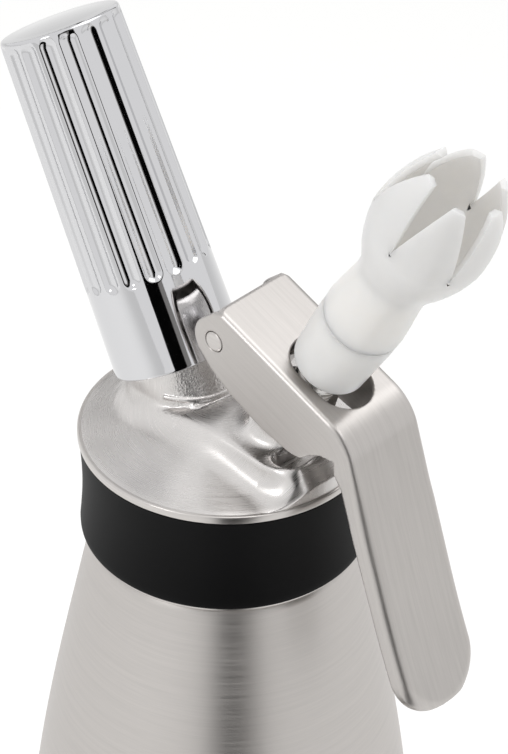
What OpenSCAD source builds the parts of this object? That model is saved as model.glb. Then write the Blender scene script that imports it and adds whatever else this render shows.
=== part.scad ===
// Whipped cream dispenser: a steel bottle with a screw-on head, a squeeze lever,
// a spring valve with a tulip tip, and a screw-on holder for a gas charger.
// Millimetres. The origin is the centre of the bottle's base, +Z is up, and the
// nozzle and the lever lean towards +X. The object is symmetric about y = 0.

/* [Bottle] */
// Height of the bottle from the table to its lip
bottle_h = 228.2; // [190:0.1:300]
// Largest outer radius of the bottle
body_r = 48.5; // [44:0.1:56]
// Height of the straight lower part of the body
straight_h = 80; // [50:1:100]
// Outer radius at the top of the shoulder
shoulder_r = 31.6; // [31:0.1:33]
// Sheet thickness of the bottle
bottle_wall = 1; // [0.6:0.1:1.5]
// Outer radius of the neck that the head screws onto
neck_r = 26.9; // [26:0.1:28]
// Radius of the mouth inside the neck
mouth_r = 24.3; // [22:0.1:25]
// Height of the neck from its ledge to the lip
neck_h = 22.6; // [20:0.1:24]
// Radius of the rounded lower edge
base_edge_r = 6; // [3:0.5:9]
// Inner radius of the ring groove pressed into the base
groove_r = 30; // [20:0.5:33]
// Width of that groove
groove_w = 6; // [3:0.5:8]
// Depth of that groove
groove_d = 0.8; // [0.4:0.1:1.5]

/* [Head cap] */
// Radius of the polished rim above the grip band
rim_r = 33.5; // [33.3:0.1:36]
// Height of the polished rim
rim_h = 1.8; // [1:0.1:3]
// Height of the dome above the rim
dome_h = 5.2; // [4:0.1:6]
// Radius of the skirt under the grip band
skirt_r = 30.6; // [29.6:0.1:31]
// Radius of the steel lip that keeps the band on the skirt
skirt_lip_r = 32.2; // [31.8:0.1:32.6]
// Thickness of that lip
skirt_lip_h = 1; // [0.6:0.1:1.5]
// Radial clearance of the neck in the skirt
neck_gap = 0.35; // [0.3:0.05:0.6]
// Depth of the gasket seat below the rim's lower edge
seat_depth = 1.5; // [1:0.1:3]
// Thickness of the head gasket
gasket_t = 2.3; // [1.5:0.1:3]
// Height of the grip band
band_h = 24.7; // [20:0.1:26]
// Outer radius of the grip band at its top edge
band_r = 33.2; // [32.8:0.1:34]
// Outer radius of the grip band at its waist
band_waist_r = 32.5; // [31.8:0.1:33]

/* [Saddle and tower] */
// Half width of the raised saddle between the two necks
saddle_w = 12; // [11:0.1:13]
// Height of the saddle's crest above the rim edge
saddle_z = 8; // [7:0.1:8.5]
// Height of the nose at the front of the saddle
nose_z = 10.2; // [8:0.1:10.6]
// Rear end of the moat round the valve tower, from the axis of the head
moat_x0 = 20.8; // [19:0.1:22]
// Front end of the moat
moat_x1 = 28.4; // [27:0.1:28.8]
// Half width of the moat
moat_w = 9.3; // [9:0.1:9.6]
// Height of the moat's floor above the rim edge
moat_floor = 4; // [3:0.1:5]
// Radius of the valve tower
tower_r = 6.4; // [6.2:0.1:6.6]
// Half width of the arm that carries the lever pin
arm_w = 8.7; // [7:0.1:9.2]
// Radius of the arm's eye round the lever pin
arm_eye_r = 4.9; // [4:0.1:5.2]

/* [Charger port] */
// Lean of the port and of the charger holder towards -X
port_tilt = 27.65; // [26:0.1:29]
// Place along X of the centre of the holder's lower edge
port_x = -15.06; // [-17:0.01:-14]
// Height of that centre above the rim edge
port_z = 13.84; // [13:0.01:16]
// Radius of the port's neck
port_r = 12.2; // [11.8:0.1:12.3]
// Radius of the collar at the foot of the neck
collar_r = 13.1; // [12.6:0.1:13.4]
// Distance of the collar's top below the holder's lower edge
collar_drop = 9.6; // [8:0.1:11]
// Length of the threaded neck inside the holder
port_thread_l = 13.5; // [12:0.1:14]
// Radius of the port's bore
port_bore_r = 9.8; // [9.5:0.1:10]
// Radius of the gas passage into the bottle
gas_r = 1.5; // [1:0.1:2]

/* [Charger holder] */
// Length of the charger holder
holder_l = 79.5; // [78.5:0.1:86]
// Outer radius at the holder's lower edge
holder_r = 15.14; // [14.9:0.01:15.6]
// Outer radius near the holder's top
holder_top_r = 13.7; // [13:0.1:14.4]
// Radius of the rounding at the top edge
holder_edge_r = 1.8; // [0.8:0.1:2]
// Radial clearance of the port's thread in the holder
holder_gap = 0.35; // [0.3:0.05:0.5]
// Length of the plain part below the flutes
plain_l = 21.5; // [18:0.5:40]
// Length of the plain part above the flutes
flute_stop = 2.4; // [2:0.1:6]
// Number of flutes round the holder
flutes = 18; // [12:1:20]
// Turn of the first flute from the side that faces the lever
flute_phase = 6; // [0:1:20]
// Radius of the cutter that makes a flute
flute_r = 2.8; // [2.2:0.1:3.2]
// Depth of a flute
flute_d = 0.8; // [0.4:0.1:1.2]

/* [Gas charger] */
// Length of the 8 g gas charger
charger_l = 65.5; // [64:0.1:66.5]
// Radius of the charger's body
charger_r = 9; // [8.8:0.1:9.2]
// Radius of the charger's neck
charger_neck_r = 4.2; // [4:0.1:4.6]
// Distance of the charger's cap above the holder's lower edge
charger_t = 10; // [9.5:0.1:10.5]
// Wall of the charger
charger_wall = 1.2; // [0.8:0.1:1.6]
// Gap round the charger in the holder
charger_gap = 0.3; // [0.3:0.1:0.6]
// Radius of the piercing pin
pin_r = 0.8; // [0.6:0.1:1]

/* [Nozzle and valve] */
// Lean of the valve and of the tip towards +X
noz_tilt = 29.3; // [28:0.1:30]
// Place along X of the centre of the tip's lower face
noz_x = 29.8; // [29:0.1:31]
// Height of that centre above the rim edge
noz_z = 34.5; // [34:0.1:36]
// Radius of the valve stem in its guide
stem_r = 2.9; // [2.6:0.1:3.2]
// Radius of the bore through the stem
stem_bore_r = 1.9; // [1.4:0.1:2]
// Radius of the stem's threaded end
stem_thread_r = 5; // [4.6:0.1:5.2]
// Length of the threaded end inside the tip
stem_in_tip = 10.8; // [8:0.1:11.4]
// Radius of the stem's collar, across its corners
stem_collar_r = 8.6; // [8.4:0.1:8.9]
// Thickness of the stem's collar
stem_collar_t = 2.5; // [2:0.1:2.8]
// Distance of the tower's top below the tip's lower face
tower_top = 23; // [22.8:0.1:23.4]
// Distance of the valve seat below the tip's lower face
seat_s = 41; // [40:0.1:42]
// Running clearance of sliding and turning shafts
run_gap = 0.05; // [0.02:0.01:0.09]
// Distance of the spring's seat below the tip's lower face
spring_seat = 29.5; // [28:0.1:30]
// Radius of the spring's coil at the middle of its wire
spring_r = 4.6; // [4.4:0.1:4.7]
// Thickness of the spring's wire
spring_wire = 1.1; // [0.8:0.1:1.2]
// Number of turns of the spring
spring_turns = 5; // [3:0.5:5]
// Length of the guide bush below the spring
guide_l = 3.1; // [2:0.1:3.4]

/* [Tip] */
// Length of the whole tip
tip_l = 68.3; // [60:0.1:76]
// Length of the socket, the tip's lower part
socket_l = 17.3; // [15:0.1:20]
// Outer radius of the socket's lower edge
socket_r = 8.4; // [8:0.1:9]
// Outer radius of the seam between socket and tulip
seam_r = 9.1; // [8.8:0.1:9.6]
// Radial clearance of the stem's thread in the socket
tip_gap = 0.35; // [0.3:0.05:0.5]
// Outer radius of the tulip's waist
waist_r = 8.1; // [7.4:0.1:8.6]
// Largest outer radius of the tulip's bulb
bulb_r = 13.1; // [11:0.1:15]
// Outer radius of the petals' ends
petal_end_r = 8.6; // [7.6:0.1:10]
// Wall thickness of the bulb
petal_t = 1.5; // [1:0.1:2]
// Number of petals
petals = 6; // [5:1:8]
// Length of the slits between the petals
slit_l = 15.2; // [10:0.1:18]
// Width of a slit at the petals' ends
slit_w = 5.6; // [3:0.1:6]

/* [Lever] */
// Width of the lever
lever_w = 22; // [21.6:0.1:24]
// Thickness of the lever's sheet
sheet_t = 1.2; // [0.8:0.1:1.25]
// Place along X of the lever pin
pin_x = 6.1; // [5.8:0.1:6.6]
// Height of the lever pin above the rim edge
pin_z = 33.1; // [33:0.1:34]
// Radius of the lever pin
lever_pin_r = 2.4; // [1.8:0.1:2.6]
// Radius of the lever's ears round the pin
ear_r = 5.8; // [5.2:0.1:6]
// Place along X of the top sheet's rear edge
rear_x = 7; // [6.8:0.1:8]
// Height of the top sheet's rear edge above the rim edge
rear_z = 41.5; // [41:0.1:42]
// Fall of the top sheet below the horizontal
top_slope = 22; // [21:0.1:23]
// Length of the top sheet to the corner of the bend
top_l = 39.7; // [39:0.1:41]
// Lean of the handle out of the vertical
handle_lean = 19.6; // [18:0.1:22]
// Length of the handle from the corner of the bend to its end
handle_l = 70; // [56:0.5:76]
// Length of the handle's end that curves outwards
flare_l = 30; // [15:0.5:35]
// Turn of that end away from the bottle
flare_turn = 6; // [2:0.5:8]
// Radius of the bend between top and handle
bend_r = 8; // [4:0.5:10]
// Depth of the lip along the handle's edges
lip_d = 4.6; // [3:0.1:6]
// Half width of the slot for the valve
slot_r = 7; // [6.4:0.1:7.4]
// Distance of the slot's rear end from the sheet's rear edge
slot_a0 = 15; // [14:0.1:16]
// Distance of the slot's front end from the sheet's rear edge
slot_a1 = 35.4; // [34:0.1:36]
// Radius of the studs that press on the valve
stud_r = 2; // [1.6:0.1:2.2]
// Gap between the studs and the valve's collar at rest
stud_gap = 0.3; // [0.3:0.05:0.4]

/* [Hidden] */
$fn = 96;
far = 200;                 // longer than anything that is cut
eps = 0.01;
rim_z = bottle_h + gasket_t + seat_depth;     // height of the rim's lower edge
ledge_z = bottle_h - neck_h;
dome_top = rim_h + dome_h;
skirt_bore_r = neck_r + neck_gap;
skirt_bottom = -band_h - skirt_lip_h;
gasket_r = skirt_bore_r + 0.3;
sheet_in = lever_w / 2 - sheet_t;             // inner face of the lever's flanges
holder_bore_r = port_r + holder_gap + 0.1;
port_crest_r = port_r + 0.1;
holder_slope = atan((holder_r - holder_top_r) / holder_l);
charger_end = charger_t + charger_l;
pin_holder_top = charger_t - 1.2;
seal_t = 1.1;
cap_t = 0.6;
recess_r = 14;                                // flat recess on the underside of the cap
recess_z = 1.2;
seat_in_r = 22;                               // inner edge of the gasket's seat
port_step_r = 6;                              // step below the port's bore, for the check valve
check_r = 5.6;
check_t = 1.4;
gas_hole_r = 0.6;                             // gas holes round the piercing pin
gas_hole_x = 2.2;
cap_hole_r = pin_r + 0.35;
pin_holder_foot = -2;

// Distance from the tip's lower face down the valve's axis to the point nearest the lever pin
press_s = (noz_x - pin_x) * sin(noz_tilt) + (noz_z - pin_z) * cos(noz_tilt);
collar_top = press_s + stud_r + stud_gap;
collar_low = collar_top + stem_collar_t;
tower_bore_r = tower_r - 1;
guide_r = stem_r + 1.5;
guide_foot = spring_seat + guide_l;
o_ring_w = 0.7;                               // half the width of an O-ring's groove
o_ring_gap = 0.03;                            // space between an O-ring and its groove
ring_foot = guide_foot + 2 * o_ring_w;        // the O-ring lies below the guide
web_t = 1;
chamber_top = ring_foot + web_t;
chamber_r = stem_r + 2.5;
seal_r = chamber_r + 1.6;
seal_h = 2.4;
boss_r = seal_r + 1.6;                        // boss round the valve seat under the cap
boss_h = 8;
nut_h = 3;
stem_foot = seat_s + seal_h + nut_h;
thread_pitch = 1.5;
thread_d = 0.7;

function bez(p, q, r, s, t) = p * pow(1 - t, 3) + 3 * q * pow(1 - t, 2) * t
                              + 3 * r * (1 - t) * pow(t, 2) + s * pow(t, 3);
function arc(c, r, a0, a1, n) = [for (i = [0:n]) c + r * [cos(a0 + (a1 - a0) * i / n),
                                                           sin(a0 + (a1 - a0) * i / n)]];

module at_rim() { translate([0, 0, rim_z]) children(); }
module on_port(t = 0) {
  at_rim() translate([port_x, 0, port_z]) rotate([0, -port_tilt, 0]) translate([0, 0, t]) children();
}
// s counts down the valve's axis from the tip's lower face, so a piece at s stands at -s
module on_valve(s = 0) {
  at_rim() translate([noz_x, 0, noz_z]) rotate([0, noz_tilt, 0]) translate([0, 0, -s]) children();
}
module ring(r_out, r_in, h) {
  difference() {
    cylinder(r = r_out, h = h);
    translate([0, 0, -1]) cylinder(r = r_in, h = h + 2);
  }
}
module torus(r_mid, r_wire) { rotate_extrude() translate([r_mid, 0]) circle(r = r_wire, $fn = 24); }
// A shape drawn in x and z, made w thick about y = 0
module across(w) { rotate([90, 0, 0]) linear_extrude(w, center = true) children(); }

/* ---- bottle ---- */
// The shoulder is one curve from the straight body to the ledge; inset moves it inwards
shoulder_top = ledge_z - 4.6;
function shoulder(inset, n) = [for (i = [0:n])
    bez([body_r - inset, straight_h], [body_r - inset, straight_h + 0.372 * (shoulder_top - straight_h)],
        [shoulder_r + 0.438 * (body_r - shoulder_r) - inset, straight_h + 0.702 * (shoulder_top - straight_h)],
        [shoulder_r - inset, shoulder_top], i / n)];
// The groove stiffens the base; up lifts it to the inner face
function groove(up) = [[groove_r, up], [groove_r + groove_w / 4, groove_d + up],
                       [groove_r + groove_w * 3 / 4, groove_d + up], [groove_r + groove_w, up]];
module bottle() {
  ledge_edge = 2.2;
  color("silver") rotate_extrude() difference() {
    polygon(concat([[0, 0]], groove(0),
                   arc([body_r - base_edge_r, base_edge_r], base_edge_r, -90, 0, 6),
                   shoulder(0, 14),
                   arc([shoulder_r - 0.3 - ledge_edge, ledge_z - ledge_edge], ledge_edge, 10, 90, 4),
                   [[neck_r, ledge_z], [neck_r, bottle_h - 0.8], [neck_r - 0.8, bottle_h], [0, bottle_h]]));
    polygon(concat([[0, bottle_wall]], groove(bottle_wall),
                   arc([body_r - base_edge_r, base_edge_r], base_edge_r - bottle_wall, -90, 0, 6),
                   shoulder(bottle_wall, 14),
                   [[mouth_r, ledge_z - bottle_wall], [mouth_r, bottle_h - 0.6],
                    [mouth_r + 0.6, bottle_h + eps], [mouth_r + 0.6, bottle_h + 1], [0, bottle_h + 1]]));
  }
}

/* ---- head ---- */
module head_gasket() {
  color("black") translate([0, 0, bottle_h]) ring(gasket_r - 0.25, mouth_r + 0.4, gasket_t);
}

// The cap: rim, hollow-ground dome and threaded skirt
module cap_shell() {
  n = 8;
  dome = [for (i = [0:n]) let (u = i / n)
      [(rim_r - 0.5) * (1 - u) + (saddle_w - 4) * u, rim_h + dome_h * (0.35 * u + 0.65 * u * u)]];
  rotate_extrude() polygon(concat(
      [[0, recess_z], [recess_r, recess_z], [seat_in_r, -seat_depth], [gasket_r, -seat_depth], [gasket_r, -seat_depth - gasket_t],
       [skirt_bore_r, -seat_depth - gasket_t - 0.3], [skirt_bore_r, skirt_bottom + 0.8],
       [skirt_bore_r + 0.8, skirt_bottom], [skirt_lip_r - 0.3, skirt_bottom],
       [skirt_lip_r, skirt_bottom + 0.3], [skirt_lip_r, -band_h], [skirt_r, -band_h], [skirt_r, 0],
       [rim_r, 0], [rim_r, rim_h - 0.3], [rim_r - 0.3, rim_h]],
      dome, [[0, dome_top]]));
}
// The raised saddle: its plan is a slot shape, its side view falls from neck to nose
module saddle() {
  front_r = saddle_w + 0.2;
  front_x = moat_x0 - 0.5;
  saddle_rear = 4.5;                          // height behind the charger port
  neck_dip = 1.6;                             // fall of the crest behind the port
  nose_fall = 1;                              // fall of the crest at its front end
  intersection() {
    linear_extrude(3 * saddle_z) union() {
      translate([port_x + 2, 0]) circle(r = saddle_w);
      translate([port_x + 2, -saddle_w]) square([front_x - port_x - 2, 2 * saddle_w]);
      translate([front_x, 0]) circle(r = front_r);
    }
    across(4 * saddle_w) polygon([[-far, 0], [-far, saddle_rear], [port_x - 6, saddle_z - neck_dip],
        [port_x + 9, saddle_z], [moat_x0, saddle_z - nose_fall / 2], [moat_x1, nose_z],
        [moat_x1 + 1.6, nose_z - 0.2], [front_x + front_r - 0.4, saddle_z - nose_fall],
        [far, saddle_z - nose_fall - 0.4], [far, 0]]);
  }
}
// The arm rises behind the valve and carries the lever pin; its foot is as narrow as the tower
arm_front = 9.2;                              // keeps the arm clear of the stem's collar
module arm() {
  waist_z = pin_z - 12;
  across(2 * arm_w) {
    translate([pin_x, pin_z]) circle(r = arm_eye_r);
    polygon([[pin_x - 3.4, pin_z - 3.6], [pin_x + 2.4, waist_z], [pin_x + 4.4, waist_z],
             valve_pt(arm_front, tower_top - 2), valve_pt(arm_front, press_s - 3), [pin_x + 1.6, pin_z + 4.6]]);
  }
  across(2 * tower_r) polygon([[pin_x - 1, pin_z - 7], [pin_x + 5.5, saddle_z + 4], [pin_x + 6, saddle_z - 4],
      [pin_x + 11, saddle_z - 4], valve_pt(arm_front, tower_top + 2), valve_pt(arm_front, press_s + 2)]);
}
// A point p mm behind the valve's axis and s mm down it, in x and z above the rim edge
function valve_pt(p, s) = [noz_x - s * sin(noz_tilt) - p * cos(noz_tilt),
                           noz_z - s * cos(noz_tilt) + p * sin(noz_tilt)];
module head() {
  color("gainsboro") difference() {
    union() {
      at_rim() difference() {
        union() {
          cap_shell();
          saddle();
        }
        translate([moat_x0, -moat_w, moat_floor]) cube([moat_x1 - moat_x0, 2 * moat_w, far]);
      }
      intersection() {
        at_rim() translate([0, 0, 1.3]) cylinder(r = rim_r - 1, h = far);
        union() {
          on_port(-26) cylinder(r = port_r, h = 26 + port_thread_l);
          on_port(-26) cylinder(r = collar_r, h = 26 - collar_drop);
          on_valve(seat_s + 8) cylinder(r = tower_r, h = seat_s + 8 - tower_top);
          at_rim() arm();
        }
      }
      // boss on the underside that carries the valve seat
      intersection() {
        on_valve(seat_s) cylinder(r = boss_r, h = boss_h);
        at_rim() translate([0, 0, -boss_h]) cylinder(r = seat_in_r + 0.5, h = boss_h + 2);
      }
    }
    // room for the foot of the charger holder beside the arm
    on_port(-1) ring(holder_r + 0.6, port_r, far);
    // charger port
    on_port(pin_holder_foot) cylinder(r = port_bore_r, h = far);
    on_port(-6) cylinder(r = port_step_r, h = 10);
    on_port(-40) cylinder(r = gas_r, h = 50);
    // valve
    on_valve(spring_seat) cylinder(r = tower_bore_r, h = spring_seat - tower_top + 1);
    on_valve(ring_foot) cylinder(r = guide_r, h = ring_foot - spring_seat + 1);
    on_valve(chamber_top + 1) cylinder(r = stem_r + run_gap, h = web_t + 2);
    on_valve(seat_s + 1) cylinder(r = chamber_r, h = seat_s + 1 - chamber_top);
    on_valve(seat_s + 20) cylinder(r = boss_r + 0.1, h = 20);
    // eye for the lever pin
    at_rim() translate([pin_x, 0, pin_z]) rotate([90, 0, 0]) cylinder(r = lever_pin_r, h = far, center = true);
  }
}
module grip_band() {
  waist = band_r - band_waist_r;
  color("black") at_rim() rotate_extrude() polygon(concat(
      [[skirt_r, 0], [band_r - 0.3, 0], [band_r, -0.3]],
      [for (i = [1:8]) let (u = i / 9) [band_r - waist * sin(180 * u) + 0.1 * u, -band_h * u]],
      arc([band_r - 1.6, -band_h + 1.6], 1.6, 0, -70, 3),
      [[skirt_r, -band_h]]));
}
module lever_pin() {
  color("lightgray") at_rim() translate([pin_x, 0, pin_z]) rotate([90, 0, 0])
    cylinder(r = lever_pin_r, h = lever_w - 0.3, center = true);
}

/* ---- valve, fixed pieces ---- */
module valve_guide() {
  color("white") on_valve(guide_foot) ring(guide_r, stem_r + run_gap, guide_l);
}
module guide_o_ring() {
  color("black") on_valve(guide_foot + o_ring_w) torus((guide_r + stem_r) / 2, o_ring_w - o_ring_gap);
}
// Return spring: one wire round the stem, from its seat in the tower up to the stem's collar
spring_h = spring_seat - collar_low;
spring_rings = 8;
spring_sides = 6;
spring_pitch = (spring_h - 2 * spring_wire) / spring_turns;
spring_n = floor(spring_turns * spring_rings);
function spring_at(i) = let (a = 360 * i / spring_rings)
    [spring_r * cos(a), spring_r * sin(a), spring_wire + spring_pitch * i / spring_rings];
spring_path = concat([spring_at(0) - [0, 0, spring_wire]], [for (i = [0:spring_n]) spring_at(i)],
                     [spring_at(spring_n) + [0, 0, spring_wire]]);
// Least distance between wire surfaces a turn apart, measured on the path's points
spring_gap = min([for (i = [0:spring_n - spring_rings]) for (j = [i + spring_rings - 2:spring_n])
                   norm(spring_at(j) - spring_at(i))]) - spring_wire;
echo(spring_gap = spring_gap);
function unit(v) = v / norm(v);
function frame_at(path, i) = let (
    last = len(path) - 1,
    d = i == 0 || i == last ? [0, 0, 1] : i == 1 || i == last - 1
        ? unit([0, 0, 1] + unit(path[min(i + 1, last)] - path[i - 1]))
        : unit(path[i + 1] - path[i - 1]),
    out = unit([path[i][0], path[i][1], 0]),
    side = unit(cross(d, out))) [cross(side, d), side];
module wire(path, r, sides) {
  n = len(path);
  pts = [for (i = [0:n - 1]) let (f = frame_at(path, i)) for (k = [0:sides - 1])
          path[i] + r * (cos(360 * k / sides) * f[0] + sin(360 * k / sides) * f[1])];
  sides_f = [for (i = [0:n - 2]) for (k = [0:sides - 1]) let (a = i * sides + k,
              b = i * sides + (k + 1) % sides) each [[a, b + sides, b], [a, a + sides, b + sides]]];
  ends_f = [for (k = [1:sides - 2]) each [[0, k, k + 1],
              [(n - 1) * sides, (n - 1) * sides + k + 1, (n - 1) * sides + k]]];
  polyhedron(points = pts, faces = concat(sides_f, ends_f));
}
module valve_spring() {
  color("silver") on_valve(spring_seat) wire(spring_path, spring_wire / 2, spring_sides);
}

/* ---- charger port, fixed pieces ---- */
module pin_holder() {
  h = pin_holder_top - pin_holder_foot;
  color("goldenrod") on_port(pin_holder_foot) difference() {
    cylinder(r = port_bore_r - 0.1, h = h);
    translate([0, 0, h / 2 - o_ring_w]) ring(port_bore_r + 1, port_bore_r - 1.6, 2 * o_ring_w);
    translate([0, 0, -1]) cylinder(r = pin_r, h = h + 2);
    for (a = [0:120:240]) rotate(a) translate([gas_hole_x, 0, -1]) cylinder(r = gas_hole_r, h = h + 2);
  }
}
module piercing_pin() {
  tip = charger_t + cap_t + 1.6;
  color("silver") on_port(pin_holder_foot + 1) rotate_extrude() polygon([[0, 0], [pin_r, 0],
      [pin_r, tip - pin_holder_foot - 3], [0, tip - pin_holder_foot - 1]]);
}
module charger_seal() {
  color("dimgray") on_port(pin_holder_top) ring(charger_neck_r + 0.4, 3, seal_t);
}
module port_o_ring() {
  color("black") on_port((pin_holder_top + pin_holder_foot) / 2)
    torus(port_bore_r - o_ring_w, o_ring_w - o_ring_gap);
}
module check_valve() {
  color("red") on_port(pin_holder_foot - check_t) cylinder(r = check_r, h = check_t);
}

/* ---- lever ---- */
// The lever's outer line from the rear edge over the bend to the handle's end, moved in by d
top_dir = [cos(top_slope), -sin(top_slope)];
top_in = [-sin(top_slope), -cos(top_slope)];
handle_dir = [sin(handle_lean), -cos(handle_lean)];
handle_in = [-cos(handle_lean), -sin(handle_lean)];
rear = [rear_x, rear_z];
corner = rear + top_l * top_dir;
flare_r = flare_l * 180 / (PI * flare_turn);
flare_centre = corner + (handle_l - flare_l) * handle_dir - flare_r * handle_in;
flare_from = 180 + handle_lean;
flare_to = flare_from + flare_turn;
flare_end = [cos(flare_to), sin(flare_to)];     // from the flare's centre to the handle's end
flare_on = [-flare_end[1], flare_end[0]];       // the way the handle points at its end
handle_end = flare_centre + flare_r * flare_end;
end_r = lever_w / 2;
end_centre = handle_end - end_r * handle_dir;
turn = 90 - handle_lean - top_slope;
bend_tangent = bend_r * tan(turn / 2);
bend_centre = corner - bend_tangent * top_dir + bend_r * top_in;
function outer_line(d) = concat([rear + d * top_in],
    arc(bend_centre, bend_r - d, 90 - top_slope, handle_lean, 6),
    arc(flare_centre, flare_r + d, flare_from, flare_to, 4));
// Lower edge of the flanges, from the lip at the handle's end back to the ear
function lower_edge() = concat(arc(flare_centre, flare_r + lip_d, flare_to, flare_from, 4),
    [corner + 12 * handle_dir + (lip_d + 0.4) * handle_in,
    corner + 8.5 * handle_dir + (lip_d + 1.6) * handle_in,
    [pin_x + 35, pin_z - 13.8], [pin_x + 31.3, pin_z - 14.1], [pin_x + 28.5, pin_z - 15.4],
    [pin_x + 25.7, pin_z - 17.6], [pin_x + 23.4, pin_z - 17.9], [pin_x + 20.8, pin_z - 17.5],
    [pin_x + 14, pin_z - 15.7], [pin_x + 5, pin_z - 11.5], [pin_x - 1, pin_z - 7.4]]);
module lever_outline() {
  polygon(concat(outer_line(0), lower_edge(), arc([pin_x, pin_z], ear_r, 225, 50, 14)));
}
// Plan of the lever seen square to the handle: straight sides and a round end
module plan_mask(half, end_d) {
  translate([end_centre[0], 0, end_centre[1]]) rotate([0, 90 - handle_lean, 0]) {
    cylinder(r = end_r - end_d, h = far, center = true);
    translate([-far, -half, -far / 2]) cube([far, 2 * half, far]);
  }
}
module lever() {
  slot_mid = (slot_a0 + slot_a1) / 2;
  slot_half = (slot_a1 - slot_a0) / 2 - slot_r;
  color("silver") at_rim() difference() {
    intersection() {
      across(lever_w) lever_outline();
      plan_mask(lever_w / 2, 0);
    }
    intersection() {
      across(2 * sheet_in) polygon(concat([rear - 30 * top_dir + sheet_t * top_in], outer_line(sheet_t),
          [handle_end + sheet_t * flare_end + 20 * flare_on, handle_end + 20 * flare_on + 60 * flare_end,
           rear + 90 * top_in - 30 * top_dir]));
      plan_mask(sheet_in, sheet_t);
    }
    // slot for the valve
    translate([rear_x, 0, rear_z]) rotate([0, top_slope, 0]) translate([slot_mid, 0, -6]) {
      for (k = [-1, 1]) translate([k * slot_half, 0, 0]) cylinder(r = slot_r, h = 12);
      translate([-slot_half, -slot_r, 0]) cube([2 * slot_half, 2 * slot_r, 12]);
    }
    // holes for the pin
    translate([pin_x, 0, pin_z]) rotate([90, 0, 0])
      cylinder(r = lever_pin_r + run_gap, h = far, center = true);
  }
}
// Two studs inside the flanges, in line with the valve's axis, push its collar down
module press_studs() {
  stud_l = sheet_in - stem_thread_r - 0.6;
  color("silver") on_valve(press_s) for (k = [-1, 1])
    translate([0, k * (sheet_in - stud_l / 2), 0]) rotate([90, 0, 0])
      cylinder(r = stud_r, h = stud_l, center = true);
}

/* ---- valve, moving pieces ---- */
module valve_stem() {
  thread_l = collar_top + stem_in_tip;
  turns = floor((thread_l - 4) / thread_pitch);
  color("lightgray") difference() {
    union() {
      on_valve(stem_foot) cylinder(r = stem_r, h = stem_foot + stem_in_tip);
      on_valve(collar_low) cylinder(r = stem_collar_r, h = stem_collar_t, $fn = 6);
      on_valve(collar_top) rotate_extrude() polygon(concat([[0, 0], [stem_thread_r, 0]],
        [for (i = [0:turns - 1]) each [[stem_thread_r, 2 + i * thread_pitch],
            [stem_thread_r - thread_d, 2 + (i + 0.4) * thread_pitch], [stem_thread_r, 2 + (i + 0.8) * thread_pitch]]],
        [[stem_thread_r, thread_l - 0.8], [stem_thread_r - 0.8, thread_l], [0, thread_l]]));
    }
    on_valve(chamber_top + 3.2) cylinder(r = stem_bore_r, h = far);
    // cross holes that let the cream into the stem
    for (a = [0, 90]) on_valve(chamber_top + 1.8) rotate([90, 0, a]) cylinder(r = 1.3, h = 20, center = true);
  }
}
module valve_seal() {
  color("black") on_valve(seat_s + seal_h) ring(seal_r, stem_r, seal_h - 0.05);
}
module seal_nut() {
  color("silver") on_valve(stem_foot) difference() {
    cylinder(r = stem_r + 2, h = nut_h, $fn = 6);
    translate([0, 0, -1]) cylinder(r = stem_r, h = nut_h + 2);
  }
}

/* ---- tip ---- */
socket_bore_r = stem_thread_r + tip_gap;
tip_seal_t = 1.2;
socket_depth = stem_in_tip + tip_seal_t + 0.1;
module tip_seal() {
  color("black") on_valve(-stem_in_tip - 0.05) ring(stem_thread_r, stem_bore_r + 0.7, tip_seal_t);
}
module tip_socket() {
  color("white") on_valve(0) rotate_extrude() polygon([[socket_bore_r + 0.4, 0], [socket_r - 0.3, 0],
      [socket_r, 0.3], [seam_r, socket_l - 3], [seam_r, socket_l], [stem_bore_r + 0.7, socket_l],
      [stem_bore_r + 0.7, socket_depth], [socket_bore_r, socket_depth], [socket_bore_r, 0.6]]);
}
waist_s = 30.8;
bulb_s = 49.8;
function tulip_line(d, n) = concat(
    [for (i = [0:n]) let (u = i / n) [bez(waist_r, waist_r, bulb_r - 1.6, bulb_r, u) - d,
        bez(waist_s, waist_s + 8, bulb_s - 11, bulb_s, u)]],
    [for (i = [1:n]) let (u = i / n) [bez(bulb_r, bulb_r, petal_end_r + 3.2, petal_end_r, u) - d,
        bez(bulb_s, bulb_s + 6, tip_l - 6.5, tip_l, u)]]);
module tulip_tip() {
  flow_r = 3.2;
  inner = [for (p = tulip_line(petal_t, 8)) if (p[1] > waist_s + 4) p];
  color("white") on_valve(0) difference() {
    rotate_extrude() polygon(concat([[flow_r, socket_l], [seam_r, socket_l], [seam_r + 0.1, socket_l + 2],
        [seam_r - 0.3, waist_s - 7], [waist_r + 0.15, waist_s - 2]], tulip_line(0, 8),
        [for (i = [len(inner) - 1:-1:0]) inner[i]], [[flow_r, waist_s + 1]]));
    for (k = [0:petals - 1]) rotate((k + 0.5) * 360 / petals) rotate([90, 0, 90])
      linear_extrude(bulb_r + 2) polygon([[0, tip_l - slit_l], [slit_w / 2 * 1.2, tip_l + 0.2 * slit_l],
          [-slit_w / 2 * 1.2, tip_l + 0.2 * slit_l]]);
  }
}

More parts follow.
